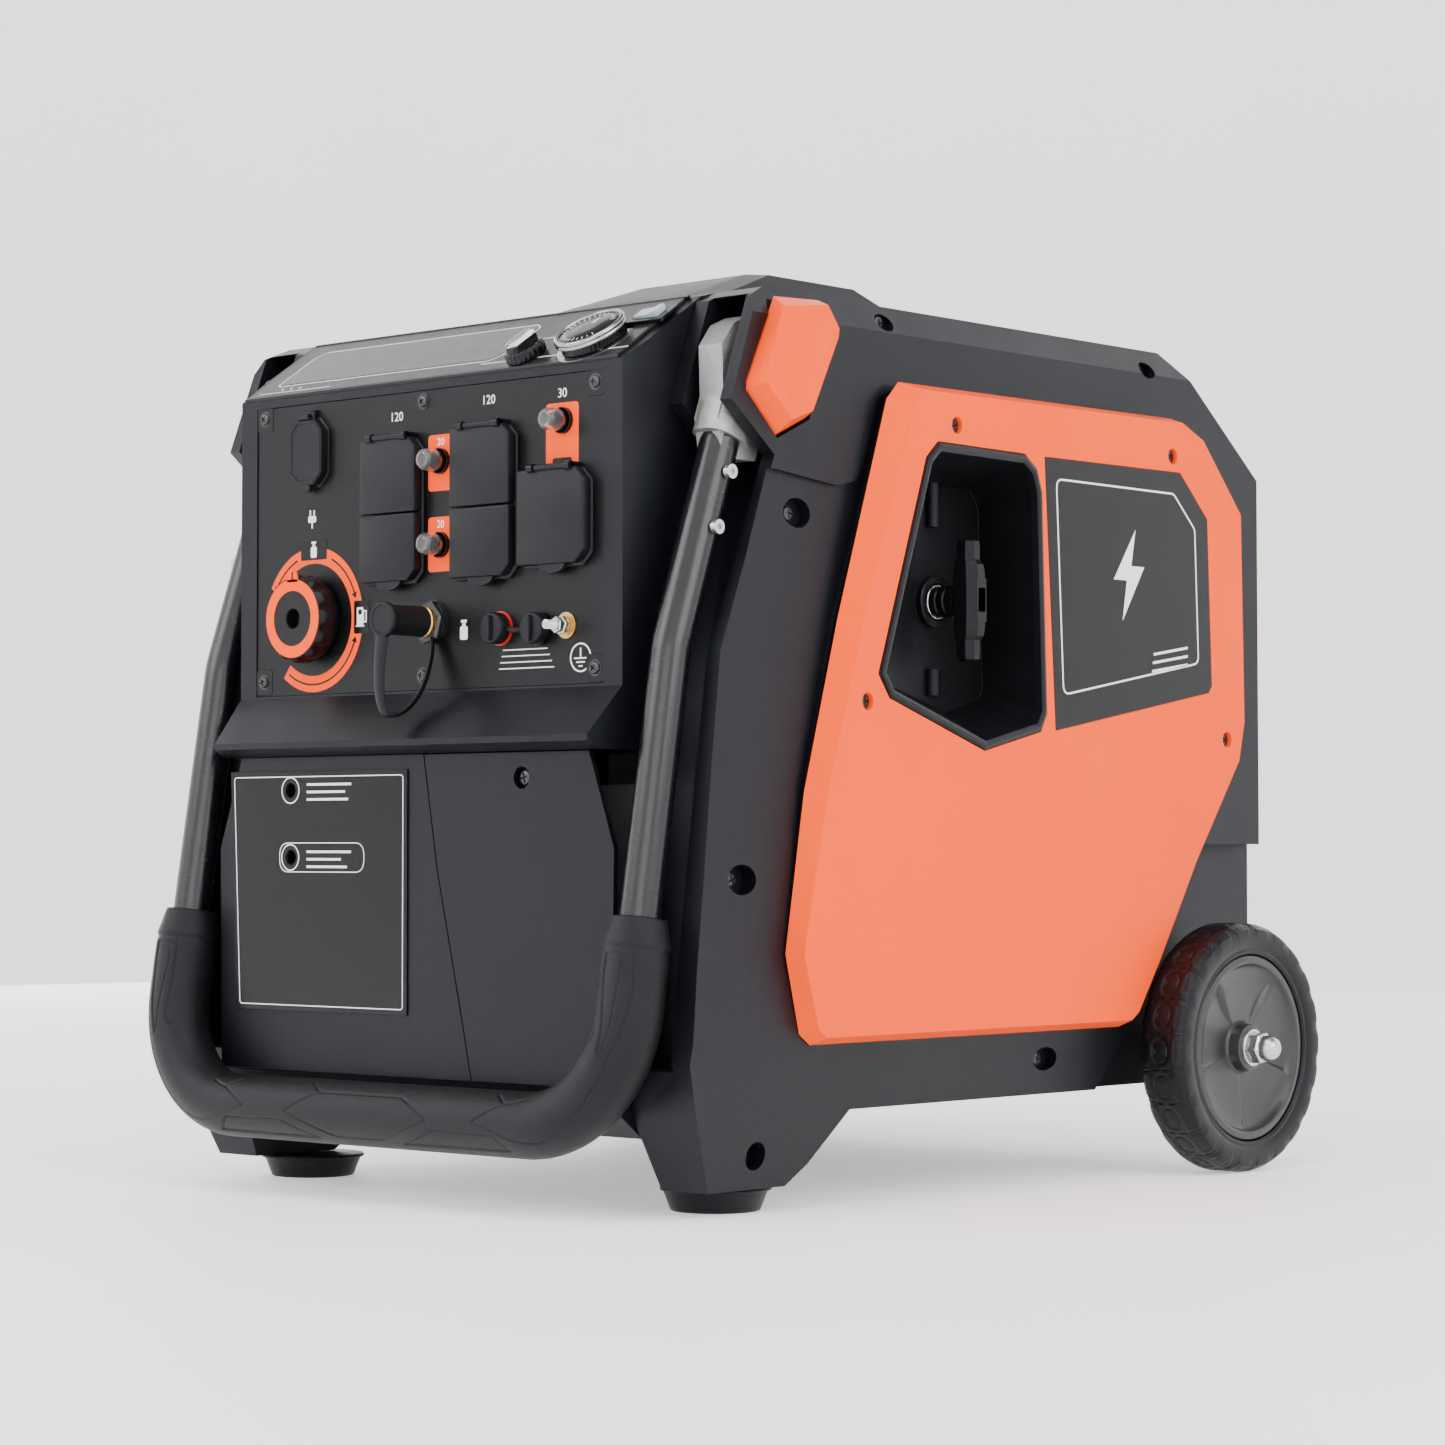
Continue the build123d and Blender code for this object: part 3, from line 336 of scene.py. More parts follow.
def inset(points, d):
    """Closed anticlockwise outline moved inwards by d, point for point."""
    n = len(points)
    out = []
    for i in range(n):
        a = Vector(points[i]) - Vector(points[i - 1])
        b = Vector(points[(i + 1) % n]) - Vector(points[i])
        if a.length < 1e-6:
            a = b
        if b.length < 1e-6:
            b = a
        na, nb = Vector((-a.y, a.x)).normalized(), Vector((-b.y, b.x)).normalized()
        m = (na + nb).normalized()
        k = d / max(0.35, m.dot(na))
        out.append((points[i][0] + m.x * k, points[i][1] + m.y * k))
    return out


def loft(loops, caps=(True, True), closed=False):
    """Skin through loops of points with the same count."""
    n = len(loops[0])
    verts = [p for loop in loops for p in loop]
    faces = []
    pairs = list(zip(range(len(loops)), range(1, len(loops))))
    if closed:
        pairs.append((len(loops) - 1, 0))
    for a, b in pairs:
        for i in range(n):
            j = (i + 1) % n
            faces.append((a * n + i, a * n + j, b * n + j, b * n + i))
    if not closed:
        if caps[0]:
            faces.append(tuple(range(n))[::-1])
        if caps[1]:
            faces.append(tuple((len(loops) - 1) * n + i for i in range(n)))
    return verts, faces


def lifted(levels, at):
    return [[at(u, v, w) for u, v in loop] for loop, w in levels]


def plate(outline, w0, w1, at, edge=0.0):
    """Flat plate between two heights, with an optional chamfered top edge."""
    outline = outline if area(outline) > 0 else outline[::-1]
    levels = [(outline, w0), (outline, w1 - edge)]
    if edge:
        levels.append((inset(outline, edge), w1))
    return loft(lifted(levels, at))


def stages(levels, at):
    return loft(lifted(levels, at))


def band(outer, inner, w0, w1, at):
    """Closed frame between an outer and an inner outline."""
    return loft(lifted([(outer, w0), (outer, w1), (inner, w1), (inner, w0)], at), closed=True)


def ring(r1, r0, w0, w1, at, cx=0.0, cy=0.0, n=48):
    return band(circle(r1, n, cx, cy), circle(r0, n, cx, cy), w0, w1, at)


def lathe(profile, at, cx=0.0, cy=0.0, n=48, caps=(True, True), closed=False):
    """Turned shape: (radius, height) pairs about the frame's w axis."""
    return loft(lifted([(circle(max(r, 0.02), n, cx, cy), w) for r, w in profile], at), caps,
                closed)


def spoke(r0, r1, a, half, cx=0.0, cy=0.0):
    """Outline of a radial bar between two radii."""
    c, s = math.cos(a), math.sin(a)
    return [(cx + r * c + k * half * s, cy + r * s - k * half * c)
            for r, k in ((r0, 1), (r1, 1), (r1, -1), (r0, -1))]


def sector(r0, r1, a0, a1, cx=0.0, cy=0.0, n=24):
    angles = [math.radians(a0 + (a1 - a0) * i / n) for i in range(n + 1)]
    return ([polar(r1, a, cx, cy) for a in angles]
            + [polar(r0, a, cx, cy) for a in reversed(angles)])


def tube(path, radius, n=10, caps=(True, True), flat=1.0):
    """Round or flattened tube along 3-D points; radius may change from point to point."""
    pts = [Vector(p) for p in path]
    loops = []
    normal = None
    for i, p in enumerate(pts):
        t = (pts[min(i + 1, len(pts) - 1)] - pts[max(i - 1, 0)]).normalized()
        if normal is None:
            ref = Vector((0, 0, 1)) if abs(t.z) < 0.9 else Vector((1, 0, 0))
            normal = (ref - t * ref.dot(t)).normalized()
        else:
            normal = (normal - t * normal.dot(t)).normalized()
        binormal = t.cross(normal)
        r = radius[i] if isinstance(radius, (list, tuple)) else radius
        loops.append([tuple(p + normal * (r * math.cos(a)) + binormal * (r * flat * math.sin(a)))
                      for a in (2 * math.pi * k / n for k in range(n))])
    return loft(loops, caps)


def bezier(a, b, c, d, steps=12):
    a, b, c, d = map(Vector, (a, b, c, d))
    return [tuple(a * (1 - t) ** 3 + b * 3 * t * (1 - t) ** 2 + c * 3 * t * t * (1 - t) + d * t ** 3)
            for t in (i / steps for i in range(steps + 1))]


def corner_path(points, radii, steps=8):
    """3-D line with round corners."""
    pts = [Vector(p) for p in points]
    out = [pts[0]]
    for before, corner, after, r in zip(pts, pts[1:], pts[2:], radii):
        a, b = (before - corner).normalized(), (after - corner).normalized()
        half = a.angle(b) / 2
        run = r / math.tan(half)
        centre = corner + (a + b).normalized() * (r / math.sin(half))
        s, e = corner + a * run - centre, corner + b * run - centre
        total = s.angle(e)
        for k in range(steps + 1):
            t = k / steps
            q = (s * math.sin((1 - t) * total) + e * math.sin(t * total)) / math.sin(total)
            out.append(centre + q)
    out.append(pts[-1])
    return out


def merge(*shapes):
    verts, faces = [], []
    for v, f in shapes:
        k = len(verts)
        verts += v
        faces += [tuple(i + k for i in face) for face in f]
    return verts, faces


def clean_mesh(name, verts, faces, dist):
    """Mesh with doubled points joined and its faces turned outwards."""
    mesh = bpy.data.meshes.new(name)
    mesh.from_pydata(verts, [], faces)
    work = bmesh.new()
    work.from_mesh(mesh)
    bmesh.ops.remove_doubles(work, verts=work.verts, dist=dist)
    bmesh.ops.recalc_face_normals(work, faces=work.faces)
    work.to_mesh(mesh)
    work.free()
    return mesh


def new_object(name, data):
    obj = bpy.data.objects.new(name, data)
    bpy.context.scene.collection.objects.link(obj)
    return obj


def piece(name, shape, mat, body, bevel=0.0, angle=35.0, replaces=None, smooth=40.0):
    """Makes a mesh object from a shape in millimetres and rides it on a CAD body."""
    verts, faces = shape
    mesh = clean_mesh(name, [tuple(c * MM for c in v) for v in verts], faces, 1e-6)
    mesh.materials.append(MAT[mat])
    mesh.shade_smooth()
    mesh.set_sharp_from_angle(angle=math.radians(smooth))
    obj = new_object(name, mesh)
    if bevel:
        add_bevel(obj, bevel, 2, angle)
    if body:
        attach(obj, body)
    if replaces:
        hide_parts(replaces)
    return obj


def numerals(text, size, at, u, v):
    """Thin printed digits, made from the built-in font."""
    curve = bpy.data.curves.new("numerals", "FONT")
    curve.body = text
    curve.size = size
    curve.align_x = "CENTER"
    curve.align_y = "CENTER"
    temp = bpy.data.objects.new("numerals", curve)
    mesh = bpy.data.meshes.new_from_object(temp)
    flat = bmesh.new()
    flat.from_mesh(mesh)
    verts = [at(u + p.co.x, v + p.co.y, 0.0) for p in flat.verts]
    top = [at(u + p.co.x, v + p.co.y, PRINT) for p in flat.verts]
    k = len(verts)
    faces = [tuple(q.index + k for q in f.verts) for f in flat.faces]
    faces += [tuple(q.index for q in reversed(f.verts)) for f in flat.faces]
    for e in flat.edges:
        if len(e.link_faces) == 1:
            a, b = e.verts
            faces.append((a.index, b.index, b.index + k, a.index + k))
    flat.free()
    bpy.data.objects.remove(temp)
    bpy.data.curves.remove(curve)
    return verts + top, faces


# ------------------------------------------------------------------ screws
def screw_head(r, h):
    """Pan head with a cross recess, as (verts, faces) about the origin, w up."""
    flat = lid(0)
    dome = lathe([(r, 0), (r, h * 0.45), (r * 0.86, h * 0.82), (r * 0.55, h), (0.02, h)], flat,
                 n=24)
    slots = merge(plate(rect(-r * 0.62, r * 0.62, -r * 0.11, r * 0.11), h * 0.35, h * 1.5, flat),
                  plate(rect(-r * 0.11, r * 0.11, -r * 0.62, r * 0.62), h * 0.34, h * 1.51, flat))
    made = [new_object(label, clean_mesh(label, *shape, 1e-5))
            for label, shape in (("head", dome), ("slots", slots))]
    cut = made[0].modifiers.new("cross", "BOOLEAN")
    cut.operation = "DIFFERENCE"
    cut.object = made[1]
    cut.solver = "EXACT"
    cut.use_self = True
    bpy.context.view_layer.update()
    result = bpy.data.meshes.new_from_object(
        made[0].evaluated_get(bpy.context.evaluated_depsgraph_get()))
    shape = ([tuple(v.co) for v in result.vertices], [tuple(p.vertices) for p in result.polygons])
    for obj in made:
        bpy.data.objects.remove(obj)
    return shape


def placed(shape, at, u=0.0, v=0.0, w=0.0, turn=0.0):
    c, s = math.cos(math.radians(turn)), math.sin(math.radians(turn))
    return [at(u + x * c - y * s, v + x * s + y * c, w + z) for x, y, z in shape[0]], shape[1]


HEAD = screw_head(4.0, 2.2)
BIG_HEAD = screw_head(5.0, 2.6)
PLATE_Y = corners("control_plate")[0][1]
PLATE_SCREWS = [(x, z) for x in (-157.5, 0.0, 157.5) for z in (342.5, 523.0)]
PANEL_SCREWS = [(-46, 507.5), (198.3, 506), (-138, 323), (264, 307)]
DEEP_SCREWS = [(-182, 442, 228), (-242, 209.6, 233), (-219.5, 37, 222), (68, 86, 234),
               (-91, 573, 227), (199, 569, 227)]
heads = [placed(HEAD, front(PLATE_Y), x, z, 0.4, 20 + 31 * i)
         for i, (x, z) in enumerate(PLATE_SCREWS)]
heads += [lathe([(5.4, 0), (5.4, 0.5), (3.0, 0.5), (3.0, 0)], front(PLATE_Y), x, z, closed=True)
          for x, z in PLATE_SCREWS]
heads.append(placed(BIG_HEAD, front(-293.0), 105.6, 274.0, -0.9, 12))
for sign in (1, -1):
    heads += [placed(BIG_HEAD, side(sign, 254.0), y, z, 0.0, 15 + 40 * i)
              for i, (y, z) in enumerate(PANEL_SCREWS)]
    heads += [placed(BIG_HEAD, side(sign, x), y, z, 0.0, 25 * i)
              for i, (y, z, x) in enumerate(DEEP_SCREWS)]
piece("screws", merge(*heads), "dark_steel", "housing", replaces="housing_screws",
      smooth=30)

# ------------------------------------------------------------------ control plate
face = front(PLATE_Y)
FUEL = middle("fuel_selector_knob", 0, 2)
pads = [plate(rounded(rect(x - 8, x + 8, z - 9, z + 9), 3), 0, 0.45, face, 0.3)
        for x, z in PLATE_SCREWS if x]
piece("plate_pads", merge(*pads), "plate", "housing")
orange_print = [plate(sector(38, 49, -128, 152, *FUEL, n=72), 0, PRINT, face)]
for x0, x1, z0, z1 in ((4.7, 27.5, 463, 500), (4.7, 27.5, 410, 446), (113.5, 142.5, 464, 512)):
    orange_print.append(plate(rounded(rect(x0, x1, z0, z1), 3), 0, PRINT, face))
piece("orange_prints", merge(*orange_print), "print_orange", "housing")
black_print = [plate(rounded(rect(FUEL[0] - 13, FUEL[0] + 13, 424, 438), 1.2), PRINT, 2 * PRINT, face),
               plate(rounded(rect(FUEL[0] + 40.5, FUEL[0] + 55, 372.5, 394.5), 1.2), PRINT, 2 * PRINT,
                     face),
               plate(rounded(rect(119.5, 136.5, 463.5, 477), 2), PRINT, 2 * PRINT, face)]
for a0, a1 in ((112, 148), (22, 66), (-124, -22)):
    black_print.append(plate(sector(43.3, 44.5, a0, a1, *FUEL), PRINT, PRINT + 0.1, face))
for a, turn in ((148, 1), (22, -1), (-22, 1)):
    t, tip = math.radians(a), math.radians(a + 5 * turn)
    arrow = [polar(41.4, t, *FUEL), polar(46.4, t, *FUEL), polar(43.9, tip, *FUEL)]
    black_print.append(plate(arrow, PRINT, PRINT + 0.1, face))
piece("black_prints", merge(*black_print), "gloss_black", "housing")


def icon_bottle(x, z, h, w0=2 * PRINT, w1=2 * PRINT + 0.1):
    body = rounded(rect(x - h * 0.27, x + h * 0.27, z - h * 0.5, z + h * 0.18), h * 0.12)
    neck = rect(x - h * 0.12, x + h * 0.12, z + h * 0.2, z + h * 0.32)
    collar = rect(x - h * 0.2, x + h * 0.2, z + h * 0.36, z + h * 0.5)
    return [plate(p, w0, w1, face) for p in (body, neck, collar)]


def icon_pump(x, z, h, w0=2 * PRINT, w1=2 * PRINT + 0.1):
    outer = rounded(rect(x - h * 0.34, x + h * 0.14, z - h * 0.45, z + h * 0.5), h * 0.06)
    window = rounded(rect(x - h * 0.24, x + h * 0.04, z + h * 0.12, z + h * 0.38), h * 0.06)
    foot = rect(x - h * 0.42, x + h * 0.22, z - h * 0.5, z - h * 0.43)
    hose = band(rounded(rect(x + h * 0.14, x + h * 0.4, z - h * 0.3, z + h * 0.34), h * 0.08),
                rounded(rect(x + h * 0.2, x + h * 0.33, z - h * 0.23, z + h * 0.27), h * 0.05),
                w0, w1, face)
    return [band(outer, window, w0, w1, face), plate(foot, w0, w1, face), hose]


def icon_earth(x, z, r):
    parts = [ring(r, r - 1.0, 0, PRINT, face, x, z, n=40)]
    parts.append(plate(rect(x - 0.5, x + 0.5, z, z + r * 0.66), 0, PRINT, face))
    for k, half in enumerate((0.62, 0.4, 0.18)):
        low = z - k * r * 0.27
        parts.append(plate(rect(x - r * half, x + r * half, low - 0.9, low), 0, PRINT, face))
    return parts


def icon_bolt(at, cx, cy, h, w0, w1):
    pts = [(0.12, 0.5), (-0.28, -0.06), (-0.04, -0.06), (-0.12, -0.5), (0.28, 0.1), (0.04, 0.1)]
    return plate([(cx + x * h, cy + y * h) for x, y in pts], w0, w1, at)


def icon_plug(x, z, h):
    body = rounded(rect(x - h * 0.3, x + h * 0.3, z - h * 0.2, z + h * 0.15), h * 0.1)
    pins = [rect(x + s * h * 0.15 - h * 0.05, x + s * h * 0.15 + h * 0.05, z + h * 0.18,
                 z + h * 0.45) for s in (-1, 1)]
    cord = rect(x - h * 0.05, x + h * 0.05, z - h * 0.5, z - h * 0.22)
    return [plate(p, 0, PRINT, face) for p in (body, cord, *pins)]


white = icon_bottle(FUEL[0], 431, 11) + icon_pump(FUEL[0] + 47.8, 383.5, 13)
white += icon_earth(144.5, 349.5, 9.3) + icon_plug(-109.5, 452, 13)
white += icon_bottle(38.5, 371, 13, 0, 0.12)
white += [numerals("120", 8.5, face, -26, 514.5), numerals("120", 8.5, face, 61, 519),
          numerals("120", 6.5, face, 128, 470.5), numerals("30", 8.5, face, 128, 518)]
for low, high in ((356, 356.7), (352, 352.7), (348, 348.7), (344, 344.7)):
    white.append(plate(rect(73 + (low - 350) * 0.3, 118 - (low - 350) * 0.5, low, high), 0, 0.1,
                       face))
white += [numerals("20", 7, lambda u, v, w: face(u, v, w + 0.1), 16.5, z) for z in (495, 441)]
piece("white_prints", merge(*white), "white", "housing", smooth=10)


# ------------------------------------------------------------------ outlet covers
def cover_outline(x0, x1, z0, z1, top, bottom):
    """Rounded on the left, chamfered at the right where the cover ends."""
    pts = [(x0, z0), (x1 - bottom, z0), (x1, z0 + bottom), (x1, z1 - top), (x1 - top, z1),
           (x0, z1)]
    pts = [p for i, p in enumerate(pts) if p != pts[i - 1]]
    return rounded(pts, 2.2)


COVERS = {"a_upper": (7, 0), "a_lower": (0, 7), "b_upper": (7, 0), "b_lower": (0, 7), "c": (8, 8)}
COVER_BACK, COVER_FRONT = 3.2, 9.4
for word, (top, bottom) in COVERS.items():
    node = f"outlet_{word}_cover"
    (x0, _, z0), (x1, _, z1) = corners(node)
    loop = cover_outline(x0, x1, z0, z1, top, bottom)
    shapes = [stages([(inset(loop, 1.0), COVER_BACK), (loop, COVER_BACK + 0.8),
                      (loop, COVER_FRONT - 1.4), (inset(loop, 0.5), COVER_FRONT - 0.4),
                      (inset(loop, 1.5), COVER_FRONT)], face)]
    if bottom:
        mid = (x0 + x1) / 2
        lip = [(mid - 12, z0 + 1)] + [(mid + 12 * math.cos(a), z0 - 6 * math.sin(a))
                                      for a in (math.pi * (i / 12) for i in range(13))][::-1]
        lip.append((mid + 12, z0 + 1))
        shapes.append(stages([(lip, 5.2), (inset(lip if area(lip) > 0 else lip[::-1], 0.3), 7.8)],
                             face))
    if "lower" not in word:
        mid = (x0 + x1) / 2
        shapes.append(tube([(mid - 13, PLATE_Y - 9.2, z1 + 0.6), (mid + 13, PLATE_Y - 9.2, z1 + 0.6)],
                           2.0, 14))
    piece(f"{node}_shell", merge(*shapes), "rubber", f"flap_{word}", replaces=node)
knuckles = []
for x, z in ((-25.8, 500), (61, 502), (125.7, 470)):
    for s in (-1, 1):
        u = x + s * 16.5
        knuckles.append(tube([(u - 2.6, PLATE_Y - 9.2, z + 0.6), (u + 2.6, PLATE_Y - 9.2, z + 0.6)],
                             2.9, 16))
        knuckles.append(plate(rounded(rect(u - 2.6, u + 2.6, z - 3, z + 3.2), 0.8), 0.2, 9.2,
                              face))
for x0, x1, z0, z1, cut in ((-53.5, 2.3, 403.5, 499.5, 7), (32.5, 90.0, 402.5, 501.5, 7),
                            (95, 157.0, 407.5, 469.5, 8)):
    loop = cover_outline(x0, x1, z0, z1, cut, cut)
    knuckles.append(stages([(loop, 0.05), (loop, 2.2), (inset(loop, 1.2), 3.0)], face))
piece("outlet_frames", merge(*knuckles), "satin_black", "housing")

usb_loop = rounded([(-125.5, 482), (-118, 474.5), (-101, 474.5), (-93.5, 482), (-93.5, 511),
                    (-101, 519), (-118, 519), (-125.5, 511)], 3.5)
usb = [stages([(inset(usb_loop, 0.8), 1.4), (usb_loop, 2.0), (usb_loop, 6.3),
               (inset(usb_loop, 1.2), 7.6), (inset(usb_loop, 2.6), 7.6),
               (inset(usb_loop, 3.4), 6.9)], face),
       plate(rounded(rect(-113.5, -105.5, 469.8, 476), 2.5), 3.0, 6.4, face, 0.8),
       tube([(-114.5, PLATE_Y - 7.0, 520.5), (-104.5, PLATE_Y - 7.0, 520.5)], 2.0, 12)]
piece("usb_cover_shell", merge(*usb), "rubber", "flap_usb", replaces="usb_cover")
usb_frame = [stages([(inset(usb_loop, -1.6), 0.0), (inset(usb_loop, -1.6), 0.9),
                     (inset(usb_loop, -0.8), 1.3)], face),
             plate(rounded(rect(-115.5, -103.5, 516, 525.5), 1.4), 0.0, 4.2, face, 0.8)]
piece("usb_frame", merge(*usb_frame), "satin_black", "housing")

# ------------------------------------------------------------------ breakers
BREAKERS = [middle(f"breaker_button_{i}", 0, 2) for i in (1, 2, 3)]
rings = []
for index, (x, z) in enumerate(BREAKERS):
    rings.append(lathe([(8.5, 0.1), (8.5, 2.2), (7.9, 3.0), (6.3, 3.0), (6.3, 0.1)], face, x, z,
                       closed=True))
    boot = lathe([(6.9, 6.4), (7.3, 7.0), (7.3, 12.5), (7.0, 15.4), (6.2, 17.0), (4.6, 17.8),
                  (3.9, 17.8), (5.4, 16.2), (6.2, 14.6), (6.4, 12.5), (6.4, 6.4)], face, x, z,
                 closed=True)
    lens = lathe([(4.7, 17.2), (4.7, 17.7), (0.02, 17.75)], face, x, z)
    piece(f"breaker_boot_{index + 1}", merge(boot, lens), "smoke", f"breaker_{index + 1}",
          replaces=f"breaker_button_{index + 1}")
    core = lathe([(5.6, 6.5), (5.6, 6.9), (4.2, 7.2), (4.2, 12.4), (3.6, 13.2), (0.02, 13.3)], face,
                 x, z)
    piece(f"breaker_core_{index + 1}", core, "gloss_black", f"breaker_{index + 1}")
piece("breaker_rings", merge(*rings), "gloss_black", "housing")

# ------------------------------------------------------------------ fuel selector
def lobed(r, depth, lobes=12, n=144):
    """Round outline about the selector's axis, with soft finger notches."""
    return [polar(r - depth * (0.5 - 0.5 * math.cos(lobes * a)) ** 2, a, *FUEL)
            for a in (2 * math.pi * i / n for i in range(n))]


knob = stages([(lobed(r, notch) if notch else circle(r, 144, *FUEL), w) for r, notch, w in (
    (26.5, 0, 0.5), (27.5, 0, 2.0), (29.0, 1.0, 4.5), (30.0, 2.6, 7.0), (30.0, 3.0, 14.5),
    (29.2, 2.6, 16.2), (27.0, 0, 18.6), (26.4, 0, 19.2), (7.2, 0, 19.2), (6.6, 0, 18.6),
    (6.6, 0, 10.0))], face)
piece("selector_knob", knob, "satin_black", "fuel_selector", replaces="fuel_selector_knob",
      smooth=30)
ring_shapes = [ring(26.4, 18.6, 19.15, 19.45, face, *FUEL, n=96)]
pointer = [(-5.4, 24.5), (5.4, 24.5), (3.4, 31.0), (0.0, 33.5), (-3.4, 31.0)]
ring_shapes.append(plate([(FUEL[0] + x, FUEL[1] + z) for x, z in pointer], 18.0, 19.45, face))
piece("selector_ring", merge(*ring_shapes), "print_orange", "fuel_selector")
slit = plate(rounded(rect(FUEL[0] - 0.7, FUEL[0] + 0.7, FUEL[1] + 25.5, FUEL[1] + 31.5), 0.5),
             19.45, 19.6, face)
piece("selector_mark", slit, "gloss_black", "fuel_selector")

# ------------------------------------------------------------------ gas inlet
GAS = middle("lpg_fitting", 0, 2)


def hexagon(flats, cx, cy, turn=0.0):
    r = flats / math.sqrt(3)
    return [polar(r, math.radians(60 * i + turn), cx, cy) for i in range(6)]


def hex_nut(flats, w0, w1, at, cx, cy, turn=0.0):
    loop = rounded(hexagon(flats, cx, cy, turn), flats * 0.09)
    return stages([(inset(loop, flats * 0.05), w0), (loop, w0 + flats * 0.04),
                   (loop, w1 - flats * 0.05), (inset(loop, flats * 0.07), w1)], at)


piece("gas_nut", merge(hex_nut(25.5, 0.6, 7.6, face, *GAS, 12),
                       lathe([(14.6, 0.0), (14.6, 0.9), (0.02, 0.9)], face, *GAS)),
      "dark_steel", "housing", replaces="lpg_fitting", smooth=25)
piece("gas_ring", lathe([(10.4, 7.5), (10.4, 10.0), (9.6, 10.9), (8.6, 10.9), (8.6, 28.0),
                         (0.02, 28.0)], face, *GAS), "brass", "housing")
cap = lathe([(8.95, 11.3), (10.2, 11.3), (10.4, 12.2), (10.2, 13.4), (9.9, 14.2), (9.9, 41.0),
             (11.4, 42.2), (11.9, 43.2), (11.9, 44.9), (11.2, 46.0), (9.6, 46.2), (9.0, 45.5),
             (0.02, 45.5)], face, *GAS, caps=(False, True))
piece("gas_cap_body", cap, "rubber", "gas_cap", replaces="lpg_cap", smooth=35)
loop_path = (bezier((8.5, -327.4, 366.5), (4.5, -326.6, 350.0), (-2.0, -323.0, 322.0),
                    (0.5, -317.0, 316.5), 18)
             + bezier((0.5, -317.0, 316.5), (4.0, -309.0, 312.5), (15.0, -302.0, 322.0),
                      (16.5, -296.0, 340.0), 16)[1:]
             + bezier((16.5, -296.0, 340.0), (17.0, -291.5, 352.0), (15.0, -288.5, 360.0),
                      (13.5, -288.0, 366.5), 10)[1:])
widths = [5.6 - 1.4 * min(1.0, i / 14) for i in range(len(loop_path))]
strap = piece("gas_cap_strap", tube(loop_path, widths, 14, flat=0.36), "rubber", None,
              smooth=60)
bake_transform(strap)
piece("gas_strap_collar", lathe([(13.6, 0.9), (13.6, 2.6), (12.9, 3.0), (12.5, 3.0), (12.5, 0.9)],
                                face, *GAS, closed=True), "rubber", "housing")

# ------------------------------------------------------------------ jacks and earth stud
JACKS = [(72.7, 370.5), (109.0, 369.2)]
caps = []
for x, z in JACKS:
    caps.append(lathe([(4.2, -8), (4.2, 1.2), (9.0, 1.3), (10.3, 2.2), (10.3, 8.3), (9.4, 9.6),
                       (8.6, 9.8), (0.02, 9.8)], face, x, z))
    caps.append(stages([(rounded(rect(x - 1.7, x + 1.7, z - 8.4, z + 8.4), 1.5), 9.4),
                        (rounded(rect(x - 1.2, x + 1.2, z - 8.0, z + 8.0), 1.1), 12.2)], face))
caps.append(tube(bezier((82, -286.0, 370.2), (88, -291.0, 368.0), (94, -291.0, 368.0),
                        (99.5, -286.0, 369.5), 12), 1.9, 10))
piece("jack_cap_bodies", merge(*caps), "rubber", "jack_cap", replaces="jack_caps")
for word, jack, mat, slot in (("red", JACKS[0], "red", "orange"),
                              ("black", JACKS[1], "gloss_black", "black_plate")):
    collar = lathe([(11.2, 0.0), (11.2, 1.0), (8.6, 1.0), (8.6, 0.0)], face, *jack, closed=True)
    piece(f"jack_ring_{word}", collar, mat, "housing")
STUD = middle("ground_stud", 0, 2)
thread = [(2.95 if i % 2 else 2.45, 7.2 + i * 0.42) for i in range(30)]
piece("earth_stud", lathe([(2.9, 0)] + thread + [(2.2, 19.6), (0.02, 19.6)], face, *STUD, n=32),
      "zinc", "housing", replaces="ground_stud")
piece("earth_nuts", merge(hex_nut(10.6, 2.4, 7.2, face, *STUD, 8),
                          hex_nut(9.4, 8.0, 11.0, face, *STUD, 24)), "zinc", "housing",
      smooth=25)
piece("earth_washers", merge(lathe([(8.4, 0.05), (8.4, 1.1), (3.2, 1.1), (3.2, 0.05)], face, *STUD,
                                   closed=True),
                             lathe([(6.6, 1.2), (6.6, 2.3), (3.2, 2.3), (3.2, 1.2)], face, *STUD,
                                   closed=True)), "brass", "housing")

# ------------------------------------------------------------------ display slope
top = slope(0, 0)
window = rounded([(-158, 17), (48, 17), (55, 22), (59, 60), (54, 64), (-152, 64), (-158, 58)], 4)
piece("display_window", plate(window, 2.0, 2.5, top, 0.25), "lens", "housing")
silver = [band(inset(window, -1.6), inset(window, -0.7), 1.98, 2.2, top)]
for line in ([(46, 11.4), (178, 11.4), (178, 12.2), (46, 12.2)],
             [(64, 40.6), (152, 40.6), (152, 41.4), (64, 41.4)],
             [(-168, 6.0), (-96, 6.0), (-96, 6.6), (-168, 6.6)]):
    silver.append(plate(line, 1.98, 2.2, top))
for k in range(3):
    silver.append(plate(circle(1.1, 16, -148 + 9 * k, 10.5), 1.98, 2.15, top))
piece("display_lines", merge(*silver), "white", "housing")
piece("display_trim", merge(plate(rect(-178, 178, 78.6, 80.6), 0.05, 2.6, top, 0.5),
                            plate(rect(-178, 178, 0.4, 2.0), 0.05, 2.2, top, 0.4)),
      "gloss_black", "housing")


def toothed(r, depth, teeth, n):
    """Round outline with fine teeth."""
    return [polar(r - depth * (0.5 + 0.5 * math.cos(teeth * a)), a)
            for a in (2 * math.pi * i / n for i in range(n))]


